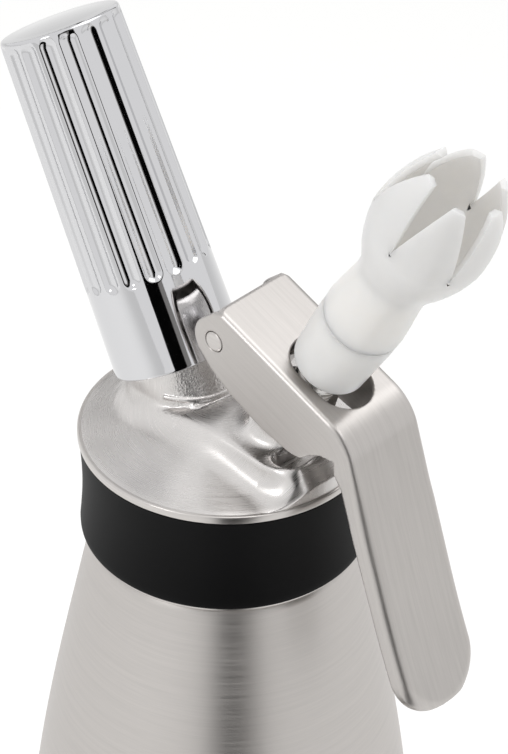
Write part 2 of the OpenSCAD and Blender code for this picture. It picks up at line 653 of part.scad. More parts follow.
/* ---- charger and holder ---- */
dome_r = 7.2;
dome_centre = [charger_r - dome_r, charger_end - dome_r];
function charger_line(d, n) = concat(
    [[charger_neck_r - d, charger_t + 6]],
    [for (i = [1:n]) let (a = 90 * i / n)
        [charger_neck_r + (charger_r - charger_neck_r) * sin(a) - d, charger_t + 6 + 9 * (1 - cos(a)) + d]],
    arc(dome_centre, dome_r - d, 0, 90, n));
module charger() {
  color("silver") on_port(0) rotate_extrude() difference() {
    polygon(concat([[0, charger_t + cap_t], [charger_neck_r, charger_t + cap_t]], charger_line(0, 5),
                   [[0, charger_end]]));
    polygon(concat([[0, charger_t], [charger_neck_r - charger_wall, charger_t]],
                   charger_line(charger_wall, 5), [[0, charger_end - charger_wall]]));
  }
}
module charger_cap() {
  color("silver") on_port(charger_t) ring(charger_neck_r, cap_hole_r, cap_t);
}
module charger_holder() {
  flute_l = holder_l - flute_stop - plain_l;
  color("white") on_port(0) difference() {
    rotate_extrude() difference() {
      polygon(concat([[0, 0], [holder_r - 0.5, 0], [holder_r, 0.5]],
                     arc([holder_top_r - holder_edge_r, holder_l - holder_edge_r - 0.4], holder_edge_r, 0, 80, 4),
                     [[0, holder_l]]));
      polygon(concat([[0, -1], [holder_bore_r, -1], [holder_bore_r, port_thread_l + 0.5],
                      [charger_r + charger_gap, port_thread_l + 1.4]],
                     arc(dome_centre, dome_r + charger_gap, 0, 90, 6), [[0, charger_end + charger_gap]]));
    }
    for (k = [0:flutes - 1]) rotate(flute_phase + k * 360 / flutes)
      translate([holder_r + flute_r - flute_d - plain_l * tan(holder_slope), 0, plain_l])
        rotate([0, -holder_slope, 0]) cylinder(r = flute_r, h = flute_l, $fn = 48);
  }
}

bottle();
head_gasket();
head();
grip_band();
lever_pin();
valve_guide();
guide_o_ring();
valve_spring();
pin_holder();
piercing_pin();
charger_seal();
port_o_ring();
check_valve();
lever();
press_studs();
valve_stem();
valve_seal();
seal_nut();
tip_seal();
tip_socket();
tulip_tip();
charger();
charger_cap();
charger_holder();
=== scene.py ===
# %% [markdown]
# # A whipped cream dispenser
# The object is a steel bottle with a screw-on head. The head carries a squeeze lever, a
# spring valve with a white tulip tip, and a chrome holder for a gas charger. The packed
# model gives the moving bodies and the exact places. This notebook gives each part its
# finished shape and surface. All shapes are worked out in millimetres.

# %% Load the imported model
import math
import bmesh
import bpy
import numpy as np
from mathutils import Matrix
from mathutils.geometry import delaunay_2d_cdt


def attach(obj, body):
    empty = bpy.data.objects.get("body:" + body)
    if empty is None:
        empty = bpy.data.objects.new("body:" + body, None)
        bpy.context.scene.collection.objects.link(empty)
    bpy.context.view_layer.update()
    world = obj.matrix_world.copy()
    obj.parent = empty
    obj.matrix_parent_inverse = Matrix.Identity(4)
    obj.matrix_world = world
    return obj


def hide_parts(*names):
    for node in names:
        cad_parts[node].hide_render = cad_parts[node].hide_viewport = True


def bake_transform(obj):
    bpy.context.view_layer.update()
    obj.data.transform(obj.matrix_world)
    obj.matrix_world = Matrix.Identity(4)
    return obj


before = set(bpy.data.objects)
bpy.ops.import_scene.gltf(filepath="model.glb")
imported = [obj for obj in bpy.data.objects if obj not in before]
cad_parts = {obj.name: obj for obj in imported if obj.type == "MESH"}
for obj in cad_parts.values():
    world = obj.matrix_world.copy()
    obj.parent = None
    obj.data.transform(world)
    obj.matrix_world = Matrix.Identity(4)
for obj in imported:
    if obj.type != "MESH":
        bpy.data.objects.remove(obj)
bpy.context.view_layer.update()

MM = 0.001                      # one millimetre in Blender's metres

# %% [markdown]
# ## Colours and nodes
# A colour picked from a screen is an sRGB value, and a shader wants linear light. One
# function does the change. A second adds a node, sets its options and joins its inputs,
# so a material reads from top to bottom.

# %% Colour and node helpers
def linear(hex_colour):
    """sRGB hex such as "C8C6C3" as a linear RGBA colour."""
    parts = [int(hex_colour[i:i + 2], 16) / 255 for i in (0, 2, 4)]
    return [c / 12.92 if c <= 0.04045 else ((c + 0.055) / 1.055) ** 2.4 for c in parts] + [1.0]


def add(tree, kind, inputs=None, **settings):
    """A new node: settings are its options, inputs are values or sockets to link."""
    made = tree.nodes.new(kind)
    for name, value in settings.items():
        setattr(made, name, value)
    for name, value in (inputs or {}).items():
        if isinstance(value, bpy.types.NodeSocket):
            tree.links.new(value, made.inputs[name])
        else:
            made.inputs[name].default_value = value
    return made


def new_material(name):
    """An empty material and its node tree."""
    made = bpy.data.materials.new(name)
    made.use_nodes = True
    made.node_tree.nodes.clear()
    return made, made.node_tree


print("white is", linear("FFFFFF"))

# %% [markdown]
# ## Pieces from points
# Every piece ends as a mesh that rides on one body of the model. The helper below turns
# millimetres into metres, joins doubled points, smooths the shading up to a set edge
# angle and hides the plain solid of the model that the piece stands for.

# %% Mesh helper
def piece(name, points, faces, material, body, stands_for=(), sharp=38, uv=None):
    """A mesh object from points in millimetres that rides on a body of the model."""
    mesh = bpy.data.meshes.new(name)
    mesh.from_pydata((np.asarray(points, float) * MM).tolist(), [], [list(map(int, f)) for f in faces])
    if uv is not None:
        layer = mesh.uv_layers.new(name="grain")
        corner = np.empty(len(mesh.loops), np.int64)
        mesh.loops.foreach_get("vertex_index", corner)
        layer.data.foreach_set("uv", (np.asarray(uv, float)[corner] * MM).astype(np.float32).ravel())
    work = bmesh.new()
    work.from_mesh(mesh)
    bmesh.ops.remove_doubles(work, verts=work.verts, dist=1e-3 * MM)
    bmesh.ops.dissolve_degenerate(work, edges=work.edges, dist=1e-4 * MM)
    work.to_mesh(mesh)
    work.free()
    mesh.validate()
    mesh.shade_smooth()
    mesh.set_sharp_from_angle(angle=math.radians(sharp))
    made = bpy.data.objects.new(name, mesh)
    bpy.context.scene.collection.objects.link(made)
    mesh.materials.append(material)
    if body:                                   # a piece without a body is left unattached
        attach(made, body)
    if stands_for:
        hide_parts(*stands_for)
    print(f"{name}: {len(mesh.vertices)} points, {len(mesh.polygons)} faces")
    return made


def grid_faces(rows, columns, closed=True, flip=False):
    """Quads of a grid of points stored row by row; closed joins the last column to the first."""
    r, c = np.meshgrid(np.arange(rows - 1), np.arange(columns if closed else columns - 1), indexing="ij")
    n = (c + 1) % columns
    quads = np.stack([r * columns + c, r * columns + n, (r + 1) * columns + n, (r + 1) * columns + c], -1)
    quads = quads.reshape(-1, 4)
    return quads[:, ::-1] if flip else quads


# %% [markdown]
# ## Turned parts
# The bottle, the rim, the rubber band and the lower half of the tip are round, as if
# turned on a lathe. Each is a profile of radius and height, swept round. A real edge is
# never perfectly sharp, so each corner of a profile may carry a small fillet that catches
# a thin line of light.

# %% Profiles and the lathe
def fillet(corners, steps=5):
    """Points of a profile; a corner (r, z, radius) is rounded with that radius."""
    out = []
    for i, corner in enumerate(corners):
        p = np.array(corner[:2], float)
        if len(corner) < 3 or i in (0, len(corners) - 1):
            out.append(p)
            continue
        a, b = np.array(corners[i - 1][:2], float) - p, np.array(corners[i + 1][:2], float) - p
        la, lb = np.linalg.norm(a), np.linalg.norm(b)
        a, b = a / la, b / lb
        half = math.acos(float(np.clip(a @ b, -1, 1))) / 2
        back = min(corner[2] / math.tan(half), 0.49 * la, 0.49 * lb)
        radius = back * math.tan(half)
        centre = p + (a + b) / np.linalg.norm(a + b) * radius / math.sin(half)
        start, end = p + a * back - centre, p + b * back - centre
        turn = math.atan2(start[0] * end[1] - start[1] * end[0], start @ end)
        for k in range(steps + 1):
            c, s = math.cos(turn * k / steps), math.sin(turn * k / steps)
            out.append(centre + [c * start[0] - s * start[1], s * start[0] + c * start[1]])
    return np.array(out)


def bezier(p, q, r, s, steps):
    """Points of a cubic curve, both ends included."""
    t = np.linspace(0, 1, steps + 1)[:, None]
    p, q, r, s = (np.array(v, float) for v in (p, q, r, s))
    return p * (1 - t) ** 3 + 3 * q * t * (1 - t) ** 2 + 3 * r * t ** 2 * (1 - t) + s * t ** 3


def lathe(profile, sides=192, closed=True):
    """Points and faces of a profile swept round Z, listed anticlockwise in r and z."""
    profile = np.asarray(profile, float)
    angle = np.arange(sides) * 2 * np.pi / sides
    r, z = profile[:, :1], profile[:, 1:2]
    points = np.stack([r * np.cos(angle), r * np.sin(angle), z + 0 * angle], -1).reshape(-1, 3)
    rows = len(profile)
    faces = grid_faces(rows, sides, flip=False)
    if closed and (profile[0][0] > 1e-6 or profile[-1][0] > 1e-6):
        last = np.stack([np.arange(sides) + (rows - 1) * sides,
                         (np.arange(sides) + 1) % sides + (rows - 1) * sides,
                         (np.arange(sides) + 1) % sides, np.arange(sides)], -1)
        faces = np.vstack([faces, last])
    return points, faces


print("a square with fillets has", len(fillet([(0, 0), (5, 0, 1), (5, 5, 1), (0, 5)])), "points")

# %% [markdown]
# ## Three frames
# The bottle and the head stand on the vertical axis. The charger holder leans back from
# the charger port, and the valve and the tip lean forward. Each leaning part is built
# upright and then stood on its own foot.

# %% Leaning frames
RIM_Z = 232.0                    # lower edge of the head's rim above the table
PORT_FOOT, PORT_LEAN = np.array([-15.06, 0, RIM_Z + 13.84]), math.radians(-27.65)
TIP_FOOT, TIP_LEAN = np.array([29.8, 0, RIM_Z + 34.5]), math.radians(29.3)


def stand(points, foot, lean):
    """Upright points leaned about Y and moved to a foot; z keeps counting along the axis."""
    p = np.asarray(points, float)
    c, s = math.cos(lean), math.sin(lean)
    return np.stack([c * p[:, 0] + s * p[:, 2], p[:, 1], -s * p[:, 0] + c * p[:, 2]], -1) + foot


def axis_of(lean):
    """Unit vector along a leaning axis."""
    return np.array([math.sin(lean), 0, math.cos(lean)])


print("charger axis", axis_of(PORT_LEAN).round(3), "tip axis", axis_of(TIP_LEAN).round(3))

# %% [markdown]
# ## The camera
# The photograph looks down on the head from the front right at about 36 degrees, from a
# little over half a metre. A long lens keeps the bottle's sides nearly straight.

# %% Camera
TURN, RISE, ROLL = (math.radians(v) for v in (42.416, 36.188, -1.252))
OFFSET = np.array([-6.163, -12.027, -650.0])          # the rim's centre as the camera sees it
back = np.array([math.sin(TURN) * math.cos(RISE), -math.cos(TURN) * math.cos(RISE), math.sin(RISE)])
right = np.array([math.cos(TURN), math.sin(TURN), 0])
up = np.cross(back, right)
c, s = math.cos(ROLL), math.sin(ROLL)
axes = np.array([c * right - s * up, s * right + c * up, back])
place = (-axes.T @ OFFSET + [0, 0, RIM_Z]) * MM
lens = bpy.data.cameras.new("camera")
lens.sensor_width = 36
lens.lens = 138.22
camera = bpy.data.objects.new("camera", lens)
bpy.context.scene.collection.objects.link(camera)
pose = Matrix(axes.T.tolist()).to_4x4()
pose.translation = place.tolist()
camera.matrix_world = pose
lens.clip_start, lens.clip_end = 0.01, 20
bpy.context.scene.camera = camera
print("camera at", place.round(3))

# %% [markdown]
# ## The bottle's surface
# The bottle is deep-drawn stainless steel. It is brushed round and round with an abrasive
# belt, which leaves fine parallel scratches. They stretch each highlight across the grain,
# so the light runs down the body in soft vertical bands.

# %% Brushed stainless steel
def brushed_steel(name, tint, rough, scratch_mm, depth, along):
    """Steel with scratches scratch_mm apart; along is their tangent socket kind."""
    made, tree = new_material(name)
    if along == "round":                       # scratches run round the vertical axis
        where = add(tree, "ShaderNodeTexCoord").outputs["Object"]
        stretch = (0.03, 0.03, 1.0)
        tangent = add(tree, "ShaderNodeTangent", direction_type="RADIAL", axis="Z").outputs[0]
    else:                                      # scratches run along the sheet's own length
        where = add(tree, "ShaderNodeUVMap", uv_map="grain").outputs[0]
        stretch = (0.03, 1.0, 1.0)
        tangent = add(tree, "ShaderNodeTangent", direction_type="UV_MAP", uv_map="grain").outputs[0]
    fine_scale = [v / (scratch_mm * MM) for v in stretch]
    fine = add(tree, "ShaderNodeMapping", {"Vector": where, "Scale": fine_scale})
    scratches = add(tree, "ShaderNodeTexNoise", {"Vector": fine.outputs[0], "Scale": 1.0, "Detail": 3.0,
                                                 "Roughness": 0.6})
    broad_scale = [v / (3 * scratch_mm * MM) for v in stretch]
    broad = add(tree, "ShaderNodeMapping", {"Vector": where, "Scale": broad_scale})
    bands = add(tree, "ShaderNodeTexNoise", {"Vector": broad.outputs[0], "Scale": 1.0, "Detail": 2.0})
    mixed = add(tree, "ShaderNodeMath", {0: scratches.outputs["Fac"], 1: bands.outputs["Fac"]}, operation="ADD")
    colour = add(tree, "ShaderNodeMapRange", {"Value": mixed.outputs[0], "From Min": 0.7, "From Max": 1.3,
                                              "To Min": 0.93, "To Max": 1.04})
    shade = add(tree, "ShaderNodeMixRGB", {"Fac": 1.0, "Color1": linear(tint), "Color2": colour.outputs[0]},
                blend_type="MULTIPLY")
    roughness = add(tree, "ShaderNodeMapRange", {"Value": mixed.outputs[0], "From Min": 0.7, "From Max": 1.3,
                                                 "To Min": rough - 0.04, "To Max": rough + 0.05})
    bump = add(tree, "ShaderNodeBump", {"Height": scratches.outputs["Fac"], "Strength": 1.0,
                                        "Distance": depth * MM})
    steel = add(tree, "ShaderNodeBsdfPrincipled", {
        "Base Color": shade.outputs[0], "Metallic": 1.0, "Roughness": roughness.outputs[0],
        "Anisotropic": 0.6, "Anisotropic Rotation": 0.25, "Tangent": tangent, "Normal": bump.outputs[0]})
    add(tree, "ShaderNodeOutputMaterial", {"Surface": steel.outputs[0]})
    return made


bottle_steel = brushed_steel("stainless_steel_brushed_round", "C6C2BF", 0.46, 0.28, 0.006, "round")
print("made", bottle_steel.name)

# %% [markdown]
# ## The bottle
# The body is one piece of sheet: a straight lower part, a long shoulder and a threaded
# neck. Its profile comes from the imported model, so it fits the head. The sheet is 1 mm
# thick, and the mouth is open inside the cap.

# %% Bottle profile and mesh
MOUTH_Z, LEDGE_Z, SHOULDER_Z, STRAIGHT_Z = 228.2, 205.6, 201.0, 80.0


def shoulder(inset, steps):
    """The shoulder's curve from the straight body up to the ledge, moved in by inset."""
    rise = SHOULDER_Z - STRAIGHT_Z
    return bezier((48.5 - inset, STRAIGHT_Z), (48.5 - inset, STRAIGHT_Z + 0.372 * rise),
                  (39.0 - inset, STRAIGHT_Z + 0.702 * rise), (31.6 - inset, SHOULDER_Z), steps)


outside = fillet([(0, 0), (30, 0, 2), (31.5, 0.8, 1), (34.5, 0.8, 1), (36, 0, 2), (48.5, 0, 6),
                  (48.5, 40)], 8)
ledge = fillet([(31.6, SHOULDER_Z), (31.2, LEDGE_Z, 2.2), (26.9, LEDGE_Z, 0.5), (26.9, MOUTH_Z, 0.8),
                (24.3, MOUTH_Z, 0.6), (24.3, LEDGE_Z - 1.2, 0.8), (30.6, SHOULDER_Z)], 6)
inside = fillet([(47.5, 40), (47.5, 1, 5), (36, 1, 1.5), (34.5, 1.8, 1), (31.5, 1.8, 1), (30, 1, 1.5),
                 (0, 1)], 6)
bottle_profile = np.vstack([outside, shoulder(0, 40), ledge[1:], shoulder(1.0, 24)[::-1][1:], inside])
points, faces = lathe(bottle_profile, 256)
piece("bottle_body", points, faces, bottle_steel, "bottle", ["bottle"], sharp=50)

# %% [markdown]
# ## The grip band
# A band of black silicone rubber lies round the head's skirt, so that a wet hand can turn
# it. It was moulded in a blasted tool, which leaves it matte with a faint bloom. It is
# drawn in a little at its waist and rolls over at its lower edge.

# %% Silicone rubber
def rubber(name, tint, rough, grain_mm):
    """Matte moulded rubber: black with a grey bloom and a fine blasted grain."""
    made, tree = new_material(name)
    where = add(tree, "ShaderNodeTexCoord").outputs["Object"]
    grain = add(tree, "ShaderNodeTexNoise", {"Vector": where, "Scale": 1 / (grain_mm * MM), "Detail": 4.0})
    cloud = add(tree, "ShaderNodeTexNoise", {"Vector": where, "Scale": 1 / (14 * MM), "Detail": 3.0})
    tone = add(tree, "ShaderNodeMapRange", {"Value": cloud.outputs["Fac"], "From Min": 0.3, "From Max": 0.7,
                                            "To Min": 0.75, "To Max": 1.3})
    shade = add(tree, "ShaderNodeMixRGB", {"Fac": 1.0, "Color1": linear(tint), "Color2": tone.outputs[0]},
                blend_type="MULTIPLY")
    bump = add(tree, "ShaderNodeBump", {"Height": grain.outputs["Fac"], "Strength": 0.6,
                                        "Distance": 0.02 * MM})
    body = add(tree, "ShaderNodeBsdfPrincipled", {
        "Base Color": shade.outputs[0], "Roughness": rough, "IOR": 1.41, "Specular IOR Level": 0.12,
        "Sheen Weight": 0.03, "Sheen Roughness": 0.5, "Normal": bump.outputs[0]})
    add(tree, "ShaderNodeOutputMaterial", {"Surface": body.outputs[0]})
    return made


silicone = rubber("silicone_rubber_moulded_matte", "040405", 0.55, 0.25)
seal_rubber = rubber("nitrile_rubber_seal", "17171A", 0.5, 0.3)
u = np.linspace(0.04, 0.94, 24)
waist = np.stack([33.2 - 0.7 * np.sin(np.pi * u) + 0.1 * u, -24.7 * u], -1)[::-1]
band = fillet([(30.62, -24.7), (33.1, -24.7, 1.6), tuple(waist[0])], 8)
band = np.vstack([band, waist[1:], fillet([tuple(waist[-1]), (33.25, -0.02, 0.5), (30.62, -0.02)], 5)[1:]])
points, faces = lathe(band + [0, RIM_Z], 256)
piece("grip_band_sleeve", points, faces, silicone, "head", ["grip_band"])

# %% [markdown]
# ## The head, part 1: distances
# The head is one steel casting: a low dome, a raised saddle, the charger port, the valve
# tower, and an arm for the lever pin. On a casting every shape flows into the next with a
# round. To model that, each shape is written as a distance, below zero inside. A smooth
# minimum then joins two shapes and leaves a round between them.

# %% Distance helpers
def join(a, b, blend):
    """Union of two distances with a round of about this size between them."""
    mix = np.clip(0.5 + 0.5 * (b - a) / blend, 0, 1)
    return b + (a - b) * mix - blend * mix * (1 - mix)


def cut(a, b, blend):
    """Shape a without shape b, with a round at the edge."""
    return -join(-a, b, blend)


def edged(a, b, edge):
    """Where both a and b are inside, with the edge between them rounded."""
    a, b = a + edge, b + edge
    return np.minimum(np.maximum(a, b), 0) + np.hypot(np.maximum(a, 0), np.maximum(b, 0)) - edge


def axis_parts(x, y, z, foot, lean):
    """Distance from a leaning axis, and the place along it."""
    dx, dz = x - foot[0], z - (foot[2] - RIM_Z)
    across = dx * math.cos(lean) - dz * math.sin(lean)
    return np.hypot(across, y), dx * math.sin(lean) + dz * math.cos(lean)


def outline(x, z, corners):
    """Signed distance to a closed outline in x and z."""
    corners = np.array(corners, float)
    best, sign = 1e9, 1.0
    for (ax, az), (bx, bz) in zip(corners, np.roll(corners, -1, 0)):
        ex, ez, wx, wz = bx - ax, bz - az, x - ax, z - az
        t = np.clip((wx * ex + wz * ez) / (ex * ex + ez * ez), 0, 1)
        best = np.minimum(best, (wx - ex * t) ** 2 + (wz - ez * t) ** 2)
        crosses = ((az > z) != (bz > z)) & (wx < ex * wz / (ez + 1e-12))
        sign = np.where(crosses, -sign, sign)
    return sign * np.sqrt(best)


square = [(0, 0), (4, 0), (4, 4), (0, 4)]
print("1 mm inside the edge of a square:", float(outline(np.float64(1), np.float64(2), square)))

# %% [markdown]
# ## The head, part 2: the shapes
# Heights here count from the lower edge of the rim. The sizes are those of the packed
# model. The machined bores have crisp edges, and the outside has the soft rounds of a
# casting that was ground and satin-finished.

# %% Smooth lines of height
def soft_line(corners, width):
    """A dense table of a line through corners, rounded over about this width."""
    corners = np.array(corners, float)
    at = np.arange(corners[0, 0], corners[-1, 0] + 0.05, 0.1)
    window = np.hanning(int(width / 0.1) // 2 * 2 + 3)
    edge = np.pad(np.interp(at, *corners.T), len(window) // 2, "reflect", reflect_type="odd")
    return at, np.convolve(edge, window / window.sum(), "valid")


PIN = np.array([6.1, 33.1])      # the lever's pin in x and z
DOME_R, NECK_R, NECK_Z = 33.0, 12.2, 11.2
ARM_UPPER = [(2.7, 29.5), (8.5, 21.1), (10.5, 21.1), (11.5, 20.7), (15.9, 28.4), (7.7, 37.7),
             (4.6, 37.6), (1.6, 34.6)]
ARM_FOOT = [(5.1, 26.1), (11.6, 12), (12.1, 4), (17.1, 4), (9.6, 17.2), (15.4, 27.6)]
# the dome's height at a radius, then the saddle's height, half width and extra roof along x
DOME = soft_line([(0, 7.0), (10, 6.95), (14, 6.5), (18, 5.1), (21, 4.2), (24, 3.45), (27, 2.85),
                  (30, 2.35), (32, 2.02), (33, 1.72), (36, 1.1)], 3)
CREST = soft_line([(-34, 3.5), (-28, 4.6), (-24, 6.0), (-19, 7.1), (-14, 7.1), (-9, 7.6), (-2, 8.4),
                   (5.5, 8.8), (11.5, 8.6), (18.3, 8.4), (21.5, 8.3), (25, 8.6), (28, 9.2),
                   (30, 8.8), (36, 4.5)], 4)
HALF_WIDTH = soft_line([(-34, 11.9), (-9, 11.9), (-2, 11.5), (5, 11.2), (12, 11.3), (18, 11.6),
                        (24, 11.8), (28, 11.9), (36, 10)], 6)
ROOF_X, ROOF = [-20, -8, 14, 21, 26, 29, 32], [0, 2.0, 2.0, 0.3, 0.3, 1.2, 0]
UNDERSIDE = np.array([(0, 1.2), (14, 1.2), (22, -1.5), (28.4, -1.5), (29.2, 0.6), (34, 0.6)])
print("crest above the rim at x 0:", round(float(np.interp(0, *CREST)), 2), "mm")


# %% The head as a distance
def head_distance(x, y, z):
    """Distance to the head's casting, in millimetres above the rim's lower edge."""
    radius = np.hypot(x, y)
    port, t = axis_parts(x, y, z, PORT_FOOT, PORT_LEAN)
    valve, s = axis_parts(x, y, z, TIP_FOOT, TIP_LEAN)
    s = -s                                     # counts down the valve, into the tower
    dome = (z - np.interp(radius, *DOME)) * 0.94
    # saddle: a long hump with a soft crest on each side; its top rises a little to the middle
    half = np.interp(x, *HALF_WIDTH)
    back_end = np.hypot(np.minimum(x + 13, 0), y) - half
    plan = edged(back_end, radius - 32.3, 8.0)
    middle = np.clip(1 - (y / 11) ** 2, 0, 1)
    crest = z - np.interp(x, *CREST) - np.interp(x, ROOF_X, ROOF) * middle
    hump = edged(plan, crest, np.interp(x, [-20, 8, 25, 29, 33], [1.1, 0.8, 0.9, 2.5, 4.0]))
    shape = join(dome, hump, np.interp(x, [5, 22, 30], [6.0, 6.0, 10.0]))
    pocket = edged(np.abs(x - 24.9) - 3.9, np.abs(y) - 9.2, 3.2)
    shape = cut(shape, edged(pocket, 4 - z, 1.0), 0.7)
    # charger port: neck, flared foot and thread
    wave = np.abs((t / 2.5 - np.arctan2(y, x - PORT_FOOT[0]) / (2 * np.pi)) % 1 - 0.5) * 4 - 1
    neck_r = NECK_R + np.where((t > 1) & (t < 12.6), 0.17 * np.clip(wave * 1.6, -1, 1) - 0.02, 0)
    neck = edged(port - neck_r, t - 13.5, 0.5)
    flare = edged((port - NECK_R - 0.95 * (NECK_Z - z)) * 0.72, np.maximum(-7.5 - x, -9.2 - y), 1.0)
    shape = join(join(shape, np.maximum(flare, t + 3), 0.3), neck, np.interp(x, [-14, -6], [2.5, 0.3]))
    lip_line = np.maximum(np.hypot(port - NECK_R - 0.15, (z - NECK_Z) * 0.9) - 0.4, -8.5 - x)
    shape = join(shape, lip_line, 0.35)
    # valve tower and the arm for the lever pin
    tower = edged(valve - 6.4, 23 - s, 0.5)
    upper = edged(outline(x, z, ARM_UPPER), np.abs(y) - 8.7, 0.8)
    upper = join(upper, edged(np.hypot(x - PIN[0], z - PIN[1]) - 4.9, np.abs(y) - 8.7, 0.6), 0.5)
    foot = edged(outline(x, z, ARM_FOOT), np.abs(y) - 5.2, 1.5)
    arm = join(upper, foot, 2.5)
    shape = join(shape, join(tower, arm, 1.5), 3.8)
    shape = np.maximum(shape, radius - DOME_R)
    # underside: a shallow recess with the boss of the valve seat
    shape = np.maximum(shape, np.interp(radius, *UNDERSIDE.T) - z)
    boss = np.maximum(np.maximum(valve - 8.6, s - 41), np.maximum(z - 2, radius - 22.5))
    shape = join(shape, boss, 0.8)
    # bores as radius, start and end: first the charger port, its seat and the gas passage,
    # then the spring seat, the guide and the valve chamber, and last the lever pin
    for r, low, high in ((9.8, -2, 40), (6, -6, 4), (1.5, -40, 10)):
        shape = cut(shape, np.maximum(port - r, np.maximum(low - t, t - high)), 0.25)
    for r, low, high in ((5.4, 10, 29.5), (4.4, 20, 34), (2.95, 20, 37), (5.4, 35, 42)):
        shape = cut(shape, np.maximum(valve - r, np.maximum(low - s, s - high)), 0.25)
    shape = cut(shape, np.maximum(valve - 8.7, 41 - s), 0.2)
    shape = cut(shape, np.hypot(x - PIN[0], z - PIN[1]) - 2.4, 0.2)
    # room for the foot of the charger holder beside the arm
    return cut(shape, np.maximum(np.maximum(port - 15.75, -1 - t), 12.3 - port), 0.4)


print("rim to dome centre:", round(float(head_distance(0.0, 25.0, 8.0)), 2), "mm above the dome at y 25")

# %% [markdown]
# ## The head, part 3: from distance to mesh
# The distance is sampled on a fine grid. Each cell that the surface crosses gets one
# point, and each grid edge that it crosses gets one face round it. This is known as
# surface nets. The points then slide down the distance's slope onto the true surface.

# %% Surface nets
def surface_net(distance, low, high, step):
    """Points and quads of the zero surface of a distance inside a box."""
    x, y, z = (np.arange(a, b + step, step) for a, b in zip(low, high))
    field = distance(x[:, None, None], y[None, :, None], z[None, None, :])
    inside = field < 0
    count = np.zeros([n - 1 for n in field.shape], np.int8)
    total = np.zeros(count.shape + (3,), np.float32)
    for axis in range(3):
        a = [slice(None)] * 3
        b = [slice(None)] * 3
        a[axis], b[axis] = slice(None, -1), slice(1, None)
        fa, fb = field[tuple(a)], field[tuple(b)]
        hit = (fa < 0) != (fb < 0)
        where = np.where(hit, fa / np.where(hit, fa - fb, 1), 0).astype(np.float32)
        others = [k for k in range(3) if k != axis]
        for i in (0, 1):
            for j in (0, 1):
                pick = [slice(None)] * 3
                pick[others[0]] = slice(i, i + count.shape[others[0]])
                pick[others[1]] = slice(j, j + count.shape[others[1]])
                h = hit[tuple(pick)]
                count += h
                total[..., axis] += where[tuple(pick)] * h
                total[..., others[0]] += i * h
                total[..., others[1]] += j * h
    cells = np.argwhere(count > 0)
    index = -np.ones(count.shape, np.int64)
    index[tuple(cells.T)] = np.arange(len(cells))
    n = count[tuple(cells.T)][:, None]
    points = (cells + total[tuple(cells.T)] / n) * step + np.array(low)
    quads = []
    for axis in range(3):
        others = [k for k in range(3) if k != axis]
        a = [slice(1, -1)] * 3
        b = [slice(1, -1)] * 3
        a[axis], b[axis] = slice(None, -1), slice(1, None)
        ia, ib = inside[tuple(a)], inside[tuple(b)]
        at = np.argwhere(ia != ib)
        out = ia[tuple(at.T)]
        at = at + [0 if k == axis else 1 for k in range(3)]
        ring = []
        for di, dj in ((-1, -1), (0, -1), (0, 0), (-1, 0)):
            c = at.copy()
            c[:, others[0]] += di
            c[:, others[1]] += dj
            ring.append(index[tuple(c.T)])
        ring = np.stack(ring, -1)
        turn = out if axis != 1 else ~out
        quads.append(np.where(turn[:, None], ring, ring[:, ::-1]))
    return points, np.vstack(quads)


def settle(distance, points, faces, rounds=3, reach=0.03):
    """Points evened out among their neighbours, then moved onto the distance's zero surface."""
    p = points.copy()
    ends = np.vstack([np.stack([faces[:, k], faces[:, k - 1]], -1) for k in range(4)])
    count = np.bincount(ends[:, 0], minlength=len(p))[:, None]
    for turn in range(rounds + 2):
        if turn < 3:
            total = np.stack([np.bincount(ends[:, 0], p[ends[:, 1], k], len(p)) for k in range(3)], -1)
            p += 0.7 * (total / count - p)
        value = distance(*p.T)
        slope = [distance(*(p + e).T) - distance(*(p - e).T) for e in np.eye(3) * reach]
        slope = np.stack(slope, -1) / (2 * reach)
        p -= slope * np.clip(value / np.maximum((slope ** 2).sum(-1), 0.2), -0.3, 0.3)[:, None]
    return p


GRID = 0.32       # millimetres between samples
cast_points, cast_faces = surface_net(head_distance, (-34, -34, -9), (36, 34, 39), GRID)
cast_points = settle(head_distance, cast_points, cast_faces)
print("head casting:", len(cast_points), "points,", len(cast_faces), "faces")

# %% [markdown]
# ## The head's surface
# The casting is ground and satin-finished, so it shines softly with fine round scratches.
# The wheel can't reach the foot of the charger port, and there the skin of the casting is
# left: a pebbled grain about half a millimetre across that glitters. A value from 0 to 1 on
# each point says how much of that skin it keeps.

